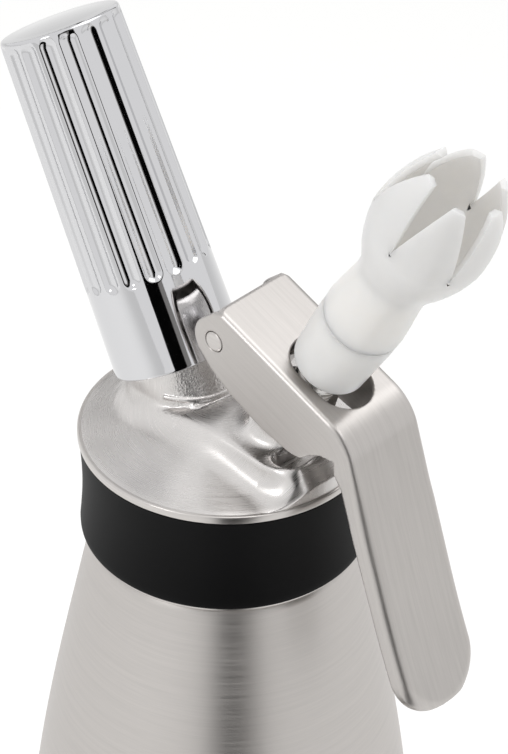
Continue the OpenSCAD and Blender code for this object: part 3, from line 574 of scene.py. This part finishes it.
# %% Satin cast steel
def satin_casting(name, tint, rough):
    """Cast steel: satin where it was ground, pebbled where the point value cast_skin is 1."""
    made, tree = new_material(name)
    where = add(tree, "ShaderNodeTexCoord").outputs["Object"]
    skin = add(tree, "ShaderNodeAttribute", attribute_name="cast_skin").outputs["Fac"]
    flat = add(tree, "ShaderNodeVectorMath", {0: where, 1: (1, 1, 0)}, operation="MULTIPLY")
    ring = add(tree, "ShaderNodeVectorMath", {0: flat.outputs[0]}, operation="LENGTH").outputs["Value"]
    xyz = add(tree, "ShaderNodeSeparateXYZ", {0: where}).outputs
    rings = add(tree, "ShaderNodeCombineXYZ", {"X": xyz["X"], "Y": xyz["Y"], "Z": ring})
    fine_scale = [v / (0.25 * MM) for v in (0.03, 0.03, 1.0)]
    fine = add(tree, "ShaderNodeMapping", {"Vector": rings.outputs[0], "Scale": fine_scale})
    scratches = add(tree, "ShaderNodeTexNoise", {"Vector": fine.outputs[0], "Scale": 1.0, "Detail": 3.0})
    pebbles = add(tree, "ShaderNodeTexNoise", {"Vector": where, "Scale": 1 / (0.55 * MM), "Detail": 2.0,
                                               "Roughness": 0.6})
    cloud = add(tree, "ShaderNodeTexNoise", {"Vector": where, "Scale": 1 / (9 * MM), "Detail": 2.0})
    tone = add(tree, "ShaderNodeMapRange", {"Value": cloud.outputs["Fac"], "From Min": 0.3, "From Max": 0.7,
                                            "To Min": 0.94, "To Max": 1.04})
    shade = add(tree, "ShaderNodeMixRGB", {"Fac": 1.0, "Color1": linear(tint), "Color2": tone.outputs[0]},
                blend_type="MULTIPLY")
    ground = add(tree, "ShaderNodeMapRange", {"Value": scratches.outputs["Fac"], "From Min": 0.3, "From Max": 0.7,
                                              "To Min": rough - 0.05, "To Max": rough + 0.05})
    roughness = add(tree, "ShaderNodeMapRange", {"Value": skin, "To Min": ground.outputs[0], "To Max": 0.22})
    depth = add(tree, "ShaderNodeMath", {0: skin, 1: 0.16 * MM}, operation="MULTIPLY")
    grain = add(tree, "ShaderNodeBump", {"Height": scratches.outputs["Fac"], "Strength": 1.0,
                                         "Distance": 0.005 * MM})
    bump = add(tree, "ShaderNodeBump", {"Height": pebbles.outputs["Fac"], "Strength": 1.0,
                                        "Distance": depth.outputs[0], "Normal": grain.outputs[0]})
    tangent = add(tree, "ShaderNodeTangent", direction_type="RADIAL", axis="Z").outputs[0]
    steel = add(tree, "ShaderNodeBsdfPrincipled", {
        "Base Color": shade.outputs[0], "Metallic": 1.0, "Roughness": roughness.outputs[0],
        "Anisotropic": 0.7, "Anisotropic Rotation": 0.25, "Tangent": tangent, "Normal": bump.outputs[0]})
    add(tree, "ShaderNodeOutputMaterial", {"Surface": steel.outputs[0]})
    return made


def point_value(obj, name, values):
    """One number per point that a material can read."""
    data = obj.data.attributes.new(name, "FLOAT", "POINT").data
    data.foreach_set("value", np.asarray(values, np.float32))


cast_steel = satin_casting("stainless_steel_cast_satin", "D8D5D3", 0.29)
head = piece("head_casting", cast_points + [0, 0, RIM_Z], cast_faces, cast_steel, "head",
             ["head"], sharp=180)
xyz = np.empty(len(head.data.vertices) * 3, np.float32)
head.data.vertices.foreach_get("co", xyz)
x, y, z = (xyz.reshape(-1, 3) / MM - [0, 0, RIM_Z]).T
port, t = axis_parts(x, y, z, PORT_FOOT, PORT_LEAN)
foot_r = NECK_R + 0.95 * np.clip(NECK_Z - z, 0, 5)
near = np.clip((foot_r + 0.35 - port) / 0.3, 0, 1) * np.clip((z - 6.5) / 0.8, 0, 1)
side = np.clip((x + 9.5) / 3, 0, 1)               # the skin is left on the side that faces the lever
point_value(head, "cast_skin", near * side)
print("points with cast skin:", int((near * side > 0.5).sum()))

# %% [markdown]
# ## The rim and the skirt
# Round the dome runs a turned and polished rim, and under it a threaded skirt takes the
# bottle's neck. Only the rim and the thin lip below the band show.

# %% Rim and skirt
polished = brushed_steel("stainless_steel_turned_bright", "CDC9C6", 0.32, 0.3, 0.002, "round")
rim = fillet([(27.55, 1.0), (27.55, -3.8), (27.25, -4.1), (27.25, -24.9, 0.2), (28.05, -25.7, 0.2),
              (32.2, -25.7, 0.35), (32.2, -24.72, 0.2), (30.6, -24.72), (30.6, 0), (33.5, 0, 0.25),
              (33.5, 1.85, 0.4), (32.2, 1.85, 0.15), (32.0, 1.0)], 4)
points, faces = lathe(rim + [0, RIM_Z], 256)
piece("head_rim_and_skirt", points, faces, polished, "head", ["head"], sharp=30)

# %% [markdown]
# ## The lever, part 1: the folded sheet
# The lever is pressed from 1.2 mm steel sheet. A flat top bends down into the handle, and
# both edges fold inwards as flanges. The flanges are deep at the pin and shrink to a lip
# along the handle, which runs round its end. A pressed sheet is a skin of even thickness,
# so its distance is that of the outer form with the inside taken away.

# %% The lever as a distance
SLOPE, LEAN, SHEET, HALF, WIDER = math.radians(22), math.radians(19.6), 1.2, 11.0, 0.6
top_way = np.array([math.cos(SLOPE), -math.sin(SLOPE)])
top_in = np.array([-math.sin(SLOPE), -math.cos(SLOPE)])
down_way = np.array([math.sin(LEAN), -math.cos(LEAN)])
down_in = np.array([-math.cos(LEAN), -math.sin(LEAN)])
REAR = np.array([7.0, 41.5])
corner = REAR + 40.3 * top_way
BEND, FLARE_L, FLARE = 13.0, 30.0, math.radians(6)
bend_back = BEND * math.tan((math.pi / 2 - LEAN - SLOPE) / 2)
bend_mid = corner - bend_back * top_way + BEND * top_in
flare_r = FLARE_L / FLARE
flare_mid = corner + (70 - FLARE_L) * down_way - flare_r * down_in


def arc(middle, radius, start, end, steps):
    """Points on an arc, angles in radians from the X axis."""
    a = np.linspace(start, end, steps + 1)
    return middle + radius * np.stack([np.cos(a), np.sin(a)], -1)


flare_a = math.pi + LEAN
handle_end = arc(flare_mid, flare_r, flare_a + FLARE, flare_a + FLARE, 0)[0]
end_way = np.array([-math.sin(flare_a + FLARE), math.cos(flare_a + FLARE)])
top_line = np.vstack([[REAR - 30 * top_way], [REAR],
                      arc(bend_mid, BEND, math.pi / 2 - SLOPE, LEAN, 24),
                      arc(flare_mid, flare_r, flare_a, flare_a + FLARE, 14), [handle_end + 25 * end_way]])
inside_of = np.vstack([top_line, [handle_end + 25 * end_way - [90, 30]],
                       [REAR - 60 * top_way + 90 * top_in]])
lip = arc(flare_mid, flare_r + 4.6, flare_a + FLARE * 1.5, flare_a, 14)
flange_line = np.array([corner + 12 * down_way + 5.0 * down_in, corner + 8.5 * down_way + 6.2 * down_in,
                        PIN + [35, -13.8], PIN + [31.3, -14.1], PIN + [28.5, -15.4], PIN + [25.7, -17.6],
                        PIN + [23.4, -17.9], PIN + [20.8, -17.5], PIN + [14, -15.7], PIN + [5, -11.5],
                        PIN + [-1, -7.4]])
ear = arc(PIN, 5.8, math.radians(225), math.radians(128), 16)
kept = np.vstack([lip, flange_line, ear, [REAR], [REAR - 8 * top_in], [corner - 14 * top_in + 8 * top_way],
                  [handle_end - 12 * down_in + 20 * end_way], [lip[0] + 20 * end_way]])
end_mid = handle_end - HALF * down_way


def lever_distance(x, y, z):
    """Distance to the lever's sheet, in millimetres above the rim's lower edge."""
    face = outline(x, z, inside_of)
    down = (x - end_mid[0]) * down_way[0] + (z - end_mid[1]) * down_way[1]
    plan = np.hypot(np.maximum(down, 0), y) - HALF - WIDER * np.clip((down + 55) / 20, 0, 1)
    form = edged(face, plan, np.interp(down, [-55, -40, 0, 8], [1.4, 2.5, 2.5, 3.4]))
    sheet = np.abs(form + SHEET / 2) - SHEET / 2
    shape = edged(sheet, outline(x, z, kept), 0.3)
    place = (x - REAR[0]) * top_way[0] + (z - REAR[1]) * top_way[1]
    corner_gap = np.hypot(np.minimum(place - 4, 0), np.maximum(np.abs(y) - HALF + 3.3, 0)) - 4
    shape = np.maximum(shape, corner_gap - 1.5 * np.maximum(-face - 0.5, 0))
    slot = np.hypot(place - np.clip(place, 22, 28.4), y) - 7.0
    shape = cut(shape, np.maximum(slot, -face - 6), 0.35)
    return cut(shape, np.hypot(x - PIN[0], z - PIN[1]) - 2.45, 0.25)


SHEET_GRID = 0.3
lever_points, lever_faces = surface_net(lever_distance, (-1, -11.8, -38), (78, 11.8, 43), SHEET_GRID)
lever_points = settle(lever_distance, lever_points, lever_faces)
print("lever:", len(lever_points), "points")

# %% [markdown]
# ## The lever, part 2: the brushing
# The sheet was brushed along its length before it was pressed. A UV map holds the real
# distance along the sheet and across it in millimetres, so that the scratches follow the
# bend and the folds as they do on the real piece.

# %% Lever mesh
def along_line(points2, line):
    """Distance along a line of the nearest point to each given point."""
    best, place, run = np.full(len(points2), 1e9), np.zeros(len(points2)), 0.0
    for a, b in zip(line, line[1:]):
        e = b - a
        length = np.linalg.norm(e)
        t = np.clip(((points2 - a) @ e) / length ** 2, 0, 1)
        d = ((points2 - a - t[:, None] * e) ** 2).sum(-1)
        place = np.where(d < best, run + t * length, place)
        best = np.minimum(best, d)
        run += length
    return place, np.sqrt(best)


lever_steel = brushed_steel("stainless_steel_brushed_lengthwise", "C0BCB9", 0.32, 0.3, 0.005, "sheet")
place, depth = along_line(lever_points[:, [0, 2]], top_line)
grain_uv = np.stack([place, lever_points[:, 1] + np.sign(lever_points[:, 1]) * depth], -1)
piece("lever_sheet", lever_points + [0, 0, RIM_Z], lever_faces, lever_steel, "lever",
      ["lever"], sharp=180, uv=grain_uv)
pin = fillet([(0, -11.2), (1.9, -11.2, 0.3), (2.34, -10.95, 0.2), (2.34, 10.95, 0.2), (1.9, 11.2, 0.3),
              (0, 11.2)], 3)
points, faces = lathe(pin, 64)
points = np.stack([PIN[0] + points[:, 0], points[:, 2], RIM_Z + PIN[1] - points[:, 1]], -1)
piece("lever_pin_turned", points, faces, polished, "head", ["lever_pin"], sharp=30)

# %% [markdown]
# ## The charger holder
# The holder is a thick tube of chromed metal, a little tapered, closed at its top. Its
# grip is 18 long flutes. Chrome copies all that is round it, so what makes it look right
# is true flutes with crisp lands, and dark and light things for it to reflect.

# %% Bright chrome
def bright_chrome(name, tint, rough):
    """Polished chrome plating: almost a mirror, with a faint wave from the buffed base."""
    made, tree = new_material(name)
    where = add(tree, "ShaderNodeTexCoord").outputs["Object"]
    wave = add(tree, "ShaderNodeTexNoise", {"Vector": where, "Scale": 1 / (16 * MM), "Detail": 1.0})
    haze = add(tree, "ShaderNodeTexNoise", {"Vector": where, "Scale": 1 / (5 * MM), "Detail": 3.0})
    roughness = add(tree, "ShaderNodeMapRange", {"Value": haze.outputs["Fac"], "From Min": 0.3, "From Max": 0.7,
                                                 "To Min": rough, "To Max": rough + 0.03})
    bump = add(tree, "ShaderNodeBump", {"Height": wave.outputs["Fac"], "Strength": 1.0, "Distance": 0.05 * MM})
    metal = add(tree, "ShaderNodeBsdfPrincipled", {
        "Base Color": linear(tint), "Metallic": 1.0, "Roughness": roughness.outputs[0],
        "Normal": bump.outputs[0]})
    add(tree, "ShaderNodeOutputMaterial", {"Surface": metal.outputs[0]})
    return made


chrome = bright_chrome("chrome_plating_polished", "CFCFD1", 0.03)

# %% Fluted tube
HOLDER_L, FLUTES, FLUTE_R, FLUTE_D = 79.5, 18, 2.8, 0.8
FLUTE_LOW, FLUTE_HIGH = 22.6, 76.4                # where the flutes reach their full depth
FOOT_R, TOP_R = 15.14, 13.7
taper = (FOOT_R - TOP_R) / HOLDER_L


def fluted(base, place, angle):
    """Radius of the holder: a flute is a round groove that runs out at both ends."""
    beyond = np.maximum(np.maximum(FLUTE_LOW - place, place - FLUTE_HIGH), 0)
    cutter = np.sqrt(np.maximum(FLUTE_R ** 2 - beyond ** 2, 1e-6))
    middle = base + FLUTE_R - FLUTE_D
    reach = cutter ** 2 - (middle * np.sin(angle)) ** 2
    groove = middle * np.cos(angle) - np.sqrt(np.maximum(reach, 0))
    groove = np.where(reach > 0, groove, base + 3)
    return join(base, groove, 0.4)


rows = np.concatenate([[0.5], np.linspace(2, 19.5, 12), np.linspace(20.2, 23, 22),
                       np.linspace(25, 74.5, 20), np.linspace(76, 77.6, 14)])
outer = np.stack([FOOT_R - taper * rows, rows], -1)
crown = fillet([tuple(outer[-1]), (TOP_R, HOLDER_L - 0.35, 2.6), (0, HOLDER_L + 0.35)], 10)[1:-1]
cap_top = HOLDER_L - 0.28 + 0.45 * (1 - np.linspace(1, 0, 12) ** 2)
crown = np.vstack([crown, np.stack([np.linspace(11, 0, 12), cap_top], -1)])
bore = fillet([(0, 75.8), (2.1, 75.8), (9.3, 73, 3), (9.3, 15, 0.3), (12.65, 14, 0.2), (12.65, 0.6),
               (13.1, 0, 0.1), (FOOT_R, 0, 0.4), (FOOT_R, 0.5)], 4)
profile = np.vstack([bore[:-1], outer, crown])
SIDES = 720
angle = np.arange(SIDES) * 2 * np.pi / SIDES
r = np.repeat(profile[:, :1], SIDES, 1)
first, last = len(bore) - 1, len(bore) - 1 + len(outer)
step = 2 * np.pi / FLUTES
offset = (angle - math.radians(6) + step / 2) % step - step / 2
r[first:last] = fluted(outer[:, :1], outer[:, 1:], offset[None, :])
up_tube = np.stack([r * np.cos(angle), r * np.sin(angle), np.repeat(profile[:, 1:], SIDES, 1)], -1)
piece("charger_holder_fluted", stand(up_tube.reshape(-1, 3), PORT_FOOT, PORT_LEAN),
      grid_faces(len(profile), SIDES), chrome, "holder", ["charger_holder"], sharp=60)

# %% [markdown]
# ## The tip
# The tip is moulded from a milky plastic that lets some light through, so its edges glow
# and its shadows stay pale. A socket screws onto the valve. Above it the tulip narrows to
# a waist and opens into a cup of six petals. The slits between them cut the cream into a
# rosette.

# %% Milky plastic
def milky_plastic(name, tint, glow_mm):
    """Moulded polypropylene: light goes a few millimetres in before it comes back out."""
    made, tree = new_material(name)
    where = add(tree, "ShaderNodeTexCoord").outputs["Object"]
    cloud = add(tree, "ShaderNodeTexNoise", {"Vector": where, "Scale": 1 / (7 * MM), "Detail": 2.0})
    skin = add(tree, "ShaderNodeTexNoise", {"Vector": where, "Scale": 1 / (0.5 * MM), "Detail": 2.0})
    tone = add(tree, "ShaderNodeMapRange", {"Value": cloud.outputs["Fac"], "From Min": 0.3, "From Max": 0.7,
                                            "To Min": 0.975, "To Max": 1.0})
    shade = add(tree, "ShaderNodeMixRGB", {"Fac": 1.0, "Color1": linear(tint), "Color2": tone.outputs[0]},
                blend_type="MULTIPLY")
    roughness = add(tree, "ShaderNodeMapRange", {"Value": cloud.outputs["Fac"], "To Min": 0.28, "To Max": 0.38})
    bump = add(tree, "ShaderNodeBump", {"Height": skin.outputs["Fac"], "Strength": 0.5, "Distance": 0.006 * MM})
    body = add(tree, "ShaderNodeBsdfPrincipled", {
        "Base Color": shade.outputs[0], "Roughness": roughness.outputs[0], "IOR": 1.49,
        "Subsurface Weight": 1.0, "Subsurface Radius": (1.0, 0.96, 0.9), "Subsurface Scale": glow_mm * MM,
        "Normal": bump.outputs[0]})
    add(tree, "ShaderNodeOutputMaterial", {"Surface": body.outputs[0]})
    return made


tip_plastic = milky_plastic("polypropylene_moulded_milky", "F2EFEB", 7)

# %% Socket and tulip
socket = fillet([(2.6, 17.28), (2.6, 12.1), (5.35, 12.1), (5.35, 0.6), (5.75, 0, 0.1), (8.4, 0, 0.35),
                 (9.1, 14.3, 3), (9.1, 17.05, 0.2), (8.85, 17.28)], 5)
points, faces = lathe(socket, 160)
piece("tip_socket_moulded", stand(points, TIP_FOOT, TIP_LEAN), faces, tip_plastic, "tip",
      ["tip_socket"], sharp=40)

TIP_L, SLIT, PETALS, WALL, WEDGE = 68.3, 52.6, 6, 1.5, 0.185
stalk = fillet([(8.85, 17.32), (9.12, 17.5, 0.15), (9.2, 19.3), (8.8, 23.8, 6), (8.25, 28.8),
                (8.1, 30.8)], 6)
bulb = np.vstack([stalk[:-1], bezier((8.1, 30.8), (8.1, 38.8), (11.5, 38.8), (13.1, 49.8), 22),
                  bezier((13.1, 49.8), (13.1, 55.8), (11.8, 61.8), (8.6, TIP_L), 30)[1:]])
run = np.concatenate([[0], np.cumsum(np.linalg.norm(np.diff(bulb, axis=0), axis=1))])
slope = np.gradient(bulb, run, axis=0)
slope /= np.linalg.norm(slope, axis=1)[:, None]
cup_from = np.searchsorted(bulb[:, 1], 34.8)
hollow = bulb[cup_from:] + np.stack([-slope[cup_from:, 1], slope[cup_from:, 0]], -1) * WALL
hollow[-1] = bulb[-1] + [-WALL, -0.35]


def half_angle(line):
    """Half of a petal's angle as seen from the axis; a slit is a wedge cut straight across."""
    half_gap = WEDGE * np.maximum(line[:, 1:2] - SLIT, 0)
    return math.pi / PETALS - np.arcsin(np.clip(half_gap / line[:, :1], 0, 0.5))


def petal_grid(line, columns=24):
    """Points of one petal on a surface of revolution, from the stalk to the tip."""
    spread = np.linspace(-1, 1, columns + 1)[None, :] * half_angle(line)
    r, z = line[:, :1], line[:, 1:2]
    return np.stack([r * np.cos(spread), r * np.sin(spread), z + 0 * spread], -1)


outer_skin, inner_skin = petal_grid(bulb), petal_grid(hollow)
rows_out, rows_in, cols = len(bulb), len(hollow), 25
one = np.vstack([outer_skin.reshape(-1, 3), inner_skin.reshape(-1, 3)])
start = rows_out * cols
f = [grid_faces(rows_out, cols, closed=False), grid_faces(rows_in, cols, closed=False, flip=True) + start]
tip_out, tip_in = (rows_out - 1) * cols, start + (rows_in - 1) * cols
k = np.arange(cols - 1)
f.append(np.stack([tip_out + k, tip_out + k + 1, tip_in + k + 1, tip_in + k], -1))
open_rows = np.arange(np.searchsorted(hollow[:, 1], SLIT) - 1, rows_in - 1)
for column, flip in ((0, False), (cols - 1, True)):
    a = (open_rows + cup_from) * cols + column
    b = start + open_rows * cols + column
    side = np.stack([a, a + cols, b + cols, b], -1)
    f.append(side[:, ::-1] if flip else side)
f = np.vstack(f)
petal_points, petal_faces = [], []
for n in range(PETALS):
    a = n * 2 * math.pi / PETALS
    turned = one @ np.array([[math.cos(a), math.sin(a), 0], [-math.sin(a), math.cos(a), 0], [0, 0, 1]])
    petal_faces.append(f + n * len(one))
    petal_points.append(turned)
petal_points, petal_faces = np.vstack(petal_points), np.vstack(petal_faces)
print("one petal has", len(f), "faces; the slit starts", SLIT, "mm up")

# %% Tulip mesh
cup_floor = fillet([tuple(hollow[0]), (5.6, 32.4, 2), (3.2, 31.8, 0.4), (3.2, 17.32), (8.85, 17.32)], 5)
cup_floor = np.vstack([hollow[:1], cup_floor[1:-1], bulb[:1]])
floor_points, floor_faces = lathe(cup_floor, PETALS * (cols - 1), closed=False)
points = np.vstack([petal_points, floor_points])
faces = np.vstack([petal_faces, floor_faces + len(petal_points)])
tulip = piece("tulip_tip_moulded", stand(points, TIP_FOOT, TIP_LEAN), faces, tip_plastic, "tip",
              ["tulip_tip"], sharp=50)
soft_edge = tulip.modifiers.new("soft_edge", "BEVEL")
soft_edge.width, soft_edge.segments, soft_edge.limit_method = 0.22 * MM, 2, "ANGLE"
soft_edge.angle_limit = math.radians(50)
print("tulip edges softened by 0.22 mm")

# %% [markdown]
# ## The return spring
# A coil of hard steel wire sits in the valve tower and lifts the valve when the lever is
# let go. One end stays in the tower and the other follows the valve. Here the coil is
# built once and rides on no body.

# %% Spring
spring_steel = brushed_steel("spring_steel_drawn_wire", "C4C4C6", 0.25, 0.3, 0.002, "round")
turns, ring_sides, per_turn = 5, 10, 48
low_s, high_s, wire = 29.5, 17.6, 1.1
steps = turns * per_turn + 1
a = np.arange(steps) * 2 * np.pi / per_turn
climb = np.linspace(wire / 2 + 0.02, low_s - high_s - wire / 2 - 0.02, steps)
centre = np.stack([4.6 * np.cos(a), 4.6 * np.sin(a), climb], -1)
out = np.stack([np.cos(a), np.sin(a), 0 * a], -1)
b = np.arange(ring_sides) * 2 * np.pi / ring_sides
coil = centre[:, None] + wire / 2 * (out[:, None] * np.cos(b)[None, :, None]
                                     + np.array([0, 0, 1]) * np.sin(b)[None, :, None])
faces = [tuple(q) for q in grid_faces(steps, ring_sides, flip=True)]
faces += [tuple(range(ring_sides)), tuple(range(steps * ring_sides - 1, (steps - 1) * ring_sides - 1, -1))]
way = axis_of(TIP_LEAN)
coil = stand(coil.reshape(-1, 3), TIP_FOOT - low_s * way, TIP_LEAN)
spring = piece("return_spring_coil", coil, faces, spring_steel, None,
               ["valve_spring"], sharp=60)
print("spring:", turns, "turns of", wire, "mm wire")

# %% [markdown]
# ## Small parts
# The valve's stem and collar, the seals and the charger are plain turned or moulded parts,
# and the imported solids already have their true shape. They stay and get their materials.

# %% Brass and zinc
def turned_metal(name, tint, rough, mark_mm):
    """Metal from a lathe, a little uneven in tone and shine from the tool."""
    made, tree = new_material(name)
    where = add(tree, "ShaderNodeTexCoord").outputs["Object"]
    marks = add(tree, "ShaderNodeTexNoise", {"Vector": where, "Scale": 1 / (mark_mm * MM), "Detail": 3.0})
    tone = add(tree, "ShaderNodeMapRange", {"Value": marks.outputs["Fac"], "From Min": 0.3, "From Max": 0.7,
                                            "To Min": 0.9, "To Max": 1.05})
    shade = add(tree, "ShaderNodeMixRGB", {"Fac": 1.0, "Color1": linear(tint), "Color2": tone.outputs[0]},
                blend_type="MULTIPLY")
    roughness = add(tree, "ShaderNodeMapRange", {"Value": marks.outputs["Fac"], "From Min": 0.3, "From Max": 0.7,
                                                 "To Min": rough - 0.05, "To Max": rough + 0.08})
    metal = add(tree, "ShaderNodeBsdfPrincipled", {"Base Color": shade.outputs[0], "Metallic": 1.0,
                                                   "Roughness": roughness.outputs[0]})
    add(tree, "ShaderNodeOutputMaterial", {"Surface": metal.outputs[0]})
    return made


valve_steel = turned_metal("stainless_steel_turned_valve", "D2D0CD", 0.18, 0.6)
brass = turned_metal("brass_turned", "D9B36A", 0.28, 0.8)
zinc = turned_metal("zinc_plating_on_steel", "BFC2C6", 0.3, 2.5)
guide_plastic = milky_plastic("acetal_turned_white", "E9E8E3", 1.0)
valve_rubber = rubber("silicone_rubber_red_valve", "8E2016", 0.5, 0.4)
finishes = {"head_gasket": seal_rubber, "valve_guide": guide_plastic, "guide_o_ring": seal_rubber,
            "pin_holder": brass, "piercing_pin": valve_steel, "charger_seal": seal_rubber,
            "port_o_ring": seal_rubber, "check_valve": valve_rubber, "press_studs": valve_steel,
            "valve_stem": valve_steel, "valve_seal": seal_rubber, "seal_nut": valve_steel,
            "tip_seal": seal_rubber, "charger": zinc, "charger_cap": zinc}
for node, finish in finishes.items():
    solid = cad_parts[node]
    for place in solid.material_slots:
        place.material = finish
print("materials set on", len(finishes), "solids")

# %% [markdown]
# ## Floor, light and what the metal reflects
# The dispenser stands in a white studio. The floor is pale, and it shows white to the
# camera while it keeps the shadow. Bright metal is only as good as what it reflects. Here
# that is a wide soft white room. One dark flag in front draws the dark band down the
# bottle and the black bar on the chrome, and a grey one beside it softens that bar's
# edge. Four tall flags behind lay the soft dark bands on the dome and its saddle.

# %% Stage
def stage_sheet(name, corners, material):
    """A flat sheet that belongs to the studio and not to the object."""
    mesh = bpy.data.meshes.new(name)
    mesh.from_pydata((np.array(corners, float) * MM).tolist(), [], [list(range(len(corners)))])
    mesh.materials.append(material)
    made = bpy.data.objects.new(name, mesh)
    bpy.context.scene.collection.objects.link(made)
    return made


def seen_ray(tree):
    """1 for rays of the camera and for mirrored or transmitted ones, 0 for all others."""
    ray = add(tree, "ShaderNodeLightPath").outputs
    pair = {0: ray["Is Camera Ray"], 1: ray["Is Transmission Ray"]}
    pair = {0: add(tree, "ShaderNodeMath", pair, operation="MAXIMUM").outputs[0], 1: ray["Is Glossy Ray"]}
    return add(tree, "ShaderNodeMath", pair, operation="MAXIMUM").outputs[0]


PAPER_LIFT = 0.22                # what the paper gives of its own, so that it shows white
FLOOR = 6000                     # half the floor's width in millimetres
paper, tree = new_material("studio_paper_white_matte")
matte = add(tree, "ShaderNodeBsdfDiffuse", {"Color": linear("EDEDEC")}).outputs[0]
white = add(tree, "ShaderNodeEmission", {"Color": linear("FFFFFF"), "Strength": PAPER_LIFT}).outputs[0]
lit = add(tree, "ShaderNodeAddShader", {0: matte, 1: white}).outputs[0]
both = add(tree, "ShaderNodeMixShader", {0: seen_ray(tree), 1: matte, 2: lit}).outputs[0]
add(tree, "ShaderNodeOutputMaterial", {"Surface": both})
stage_sheet("floor", [(u * FLOOR, v * FLOOR, 0) for u, v in ((-1, -1), (1, -1), (1, 1), (-1, 1))], paper)


def cloth(name, tone):
    """A matte cloth for a flag; the object only ever sees it as a reflection."""
    made, tree = new_material(name)
    shade = add(tree, "ShaderNodeEmission", {"Color": linear(tone), "Strength": 1.0})
    add(tree, "ShaderNodeOutputMaterial", {"Surface": shade.outputs[0]})
    return made


def flag(name, start, end, near, far, low, top, tone):
    """A sheet between two compass angles, seen only in reflections; near adds a part on the floor."""
    turn = [np.array([math.cos(math.radians(v)), math.sin(math.radians(v))]) for v in (start, end)]
    (a, b), (c, d) = [t * far for t in turn], [t * near for t in turn]
    parts = [("upright", [(*a, low), (*b, low), (*b, top), (*a, top)])]
    if near:
        parts.append(("floor", [(*c, low), (*a, low), (*b, low), (*d, low)]))
    material = cloth(f"{name}_cloth", tone)
    for part, corners in parts:
        sheet = stage_sheet(f"{name}_{part}", corners, material)
        sheet.visible_camera = sheet.visible_shadow = sheet.visible_diffuse = False
        sheet.visible_transmission = False


flag("flag_front", -53, -32, 60, 420, 0.4, 900, "050505")
flag("flag_front_right", -32, -24, 60, 430, 0.6, 900, "8C8A88")
# behind: start and end angle, lower and upper edge, tone
BACK_FLAGS = ((126, 136, 560, 1500, "7C7A78"), (147, 151, 300, 1300, "4A4846"),
              (157, 160, 300, 1300, "5A5856"), (98, 105, 300, 1300, "6A6866"))
for number, (start, end, low, top, tone) in enumerate(BACK_FLAGS):
    flag(f"flag_back_{number}", start, end, 0, 700, low, top, tone)

# %% Lamps and world
world = bpy.data.worlds.new("white_studio")
bpy.context.scene.world = world
world.use_nodes = True
tree = world.node_tree
tree.nodes.clear()
direction = add(tree, "ShaderNodeTexCoord").outputs["Generated"]
height = add(tree, "ShaderNodeSeparateXYZ", {0: direction}).outputs["Z"]
# the room lights the object a little more from above
soft = add(tree, "ShaderNodeMapRange", {"Value": height, "From Min": -0.1, "From Max": 0.9,
                                        "To Min": 0.54, "To Max": 0.75})
strength = add(tree, "ShaderNodeMix", {"Factor": seen_ray(tree), "A": soft.outputs[0], "B": 1.0})
sky = add(tree, "ShaderNodeBackground", {"Color": linear("FFFFFF"), "Strength": strength.outputs[0]})
add(tree, "ShaderNodeOutputWorld", {"Surface": sky.outputs[0]})


def softbox(name, place, aim, size, watts):
    """A square soft lamp, in millimetres, that points at a spot."""
    data = bpy.data.lights.new(name, "AREA")
    data.size, data.energy = size * MM, watts
    lamp = bpy.data.objects.new(name, data)
    bpy.context.scene.collection.objects.link(lamp)
    way = np.array(place, float) - np.array(aim, float)
    way /= np.linalg.norm(way)
    side = np.cross([0, 0, 1], way)
    side /= np.linalg.norm(side)
    pose = Matrix(np.stack([side, np.cross(way, side), way], 1).tolist()).to_4x4()
    pose.translation = (np.array(place, float) * MM).tolist()
    lamp.matrix_world = pose
    return lamp


side_lamp = softbox("left_softbox", (-700, -900, 900), (0, 0, 220), 700, 3.2)
side_lamp.visible_glossy = False                  # it would burn a hot square into the chrome
softbox("top_softbox", (300, 300, 1300), (0, 0, 220), 900, 4)
softbox("edge_light", (-100, -1000, 1050), (0, 0, 250), 260, 1.6)     # the bright line on the lever's fold
bpy.context.scene.view_settings.view_transform = "Standard"
print("studio ready")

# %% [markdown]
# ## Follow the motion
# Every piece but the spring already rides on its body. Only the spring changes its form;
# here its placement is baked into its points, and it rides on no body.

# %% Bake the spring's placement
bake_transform(spring)
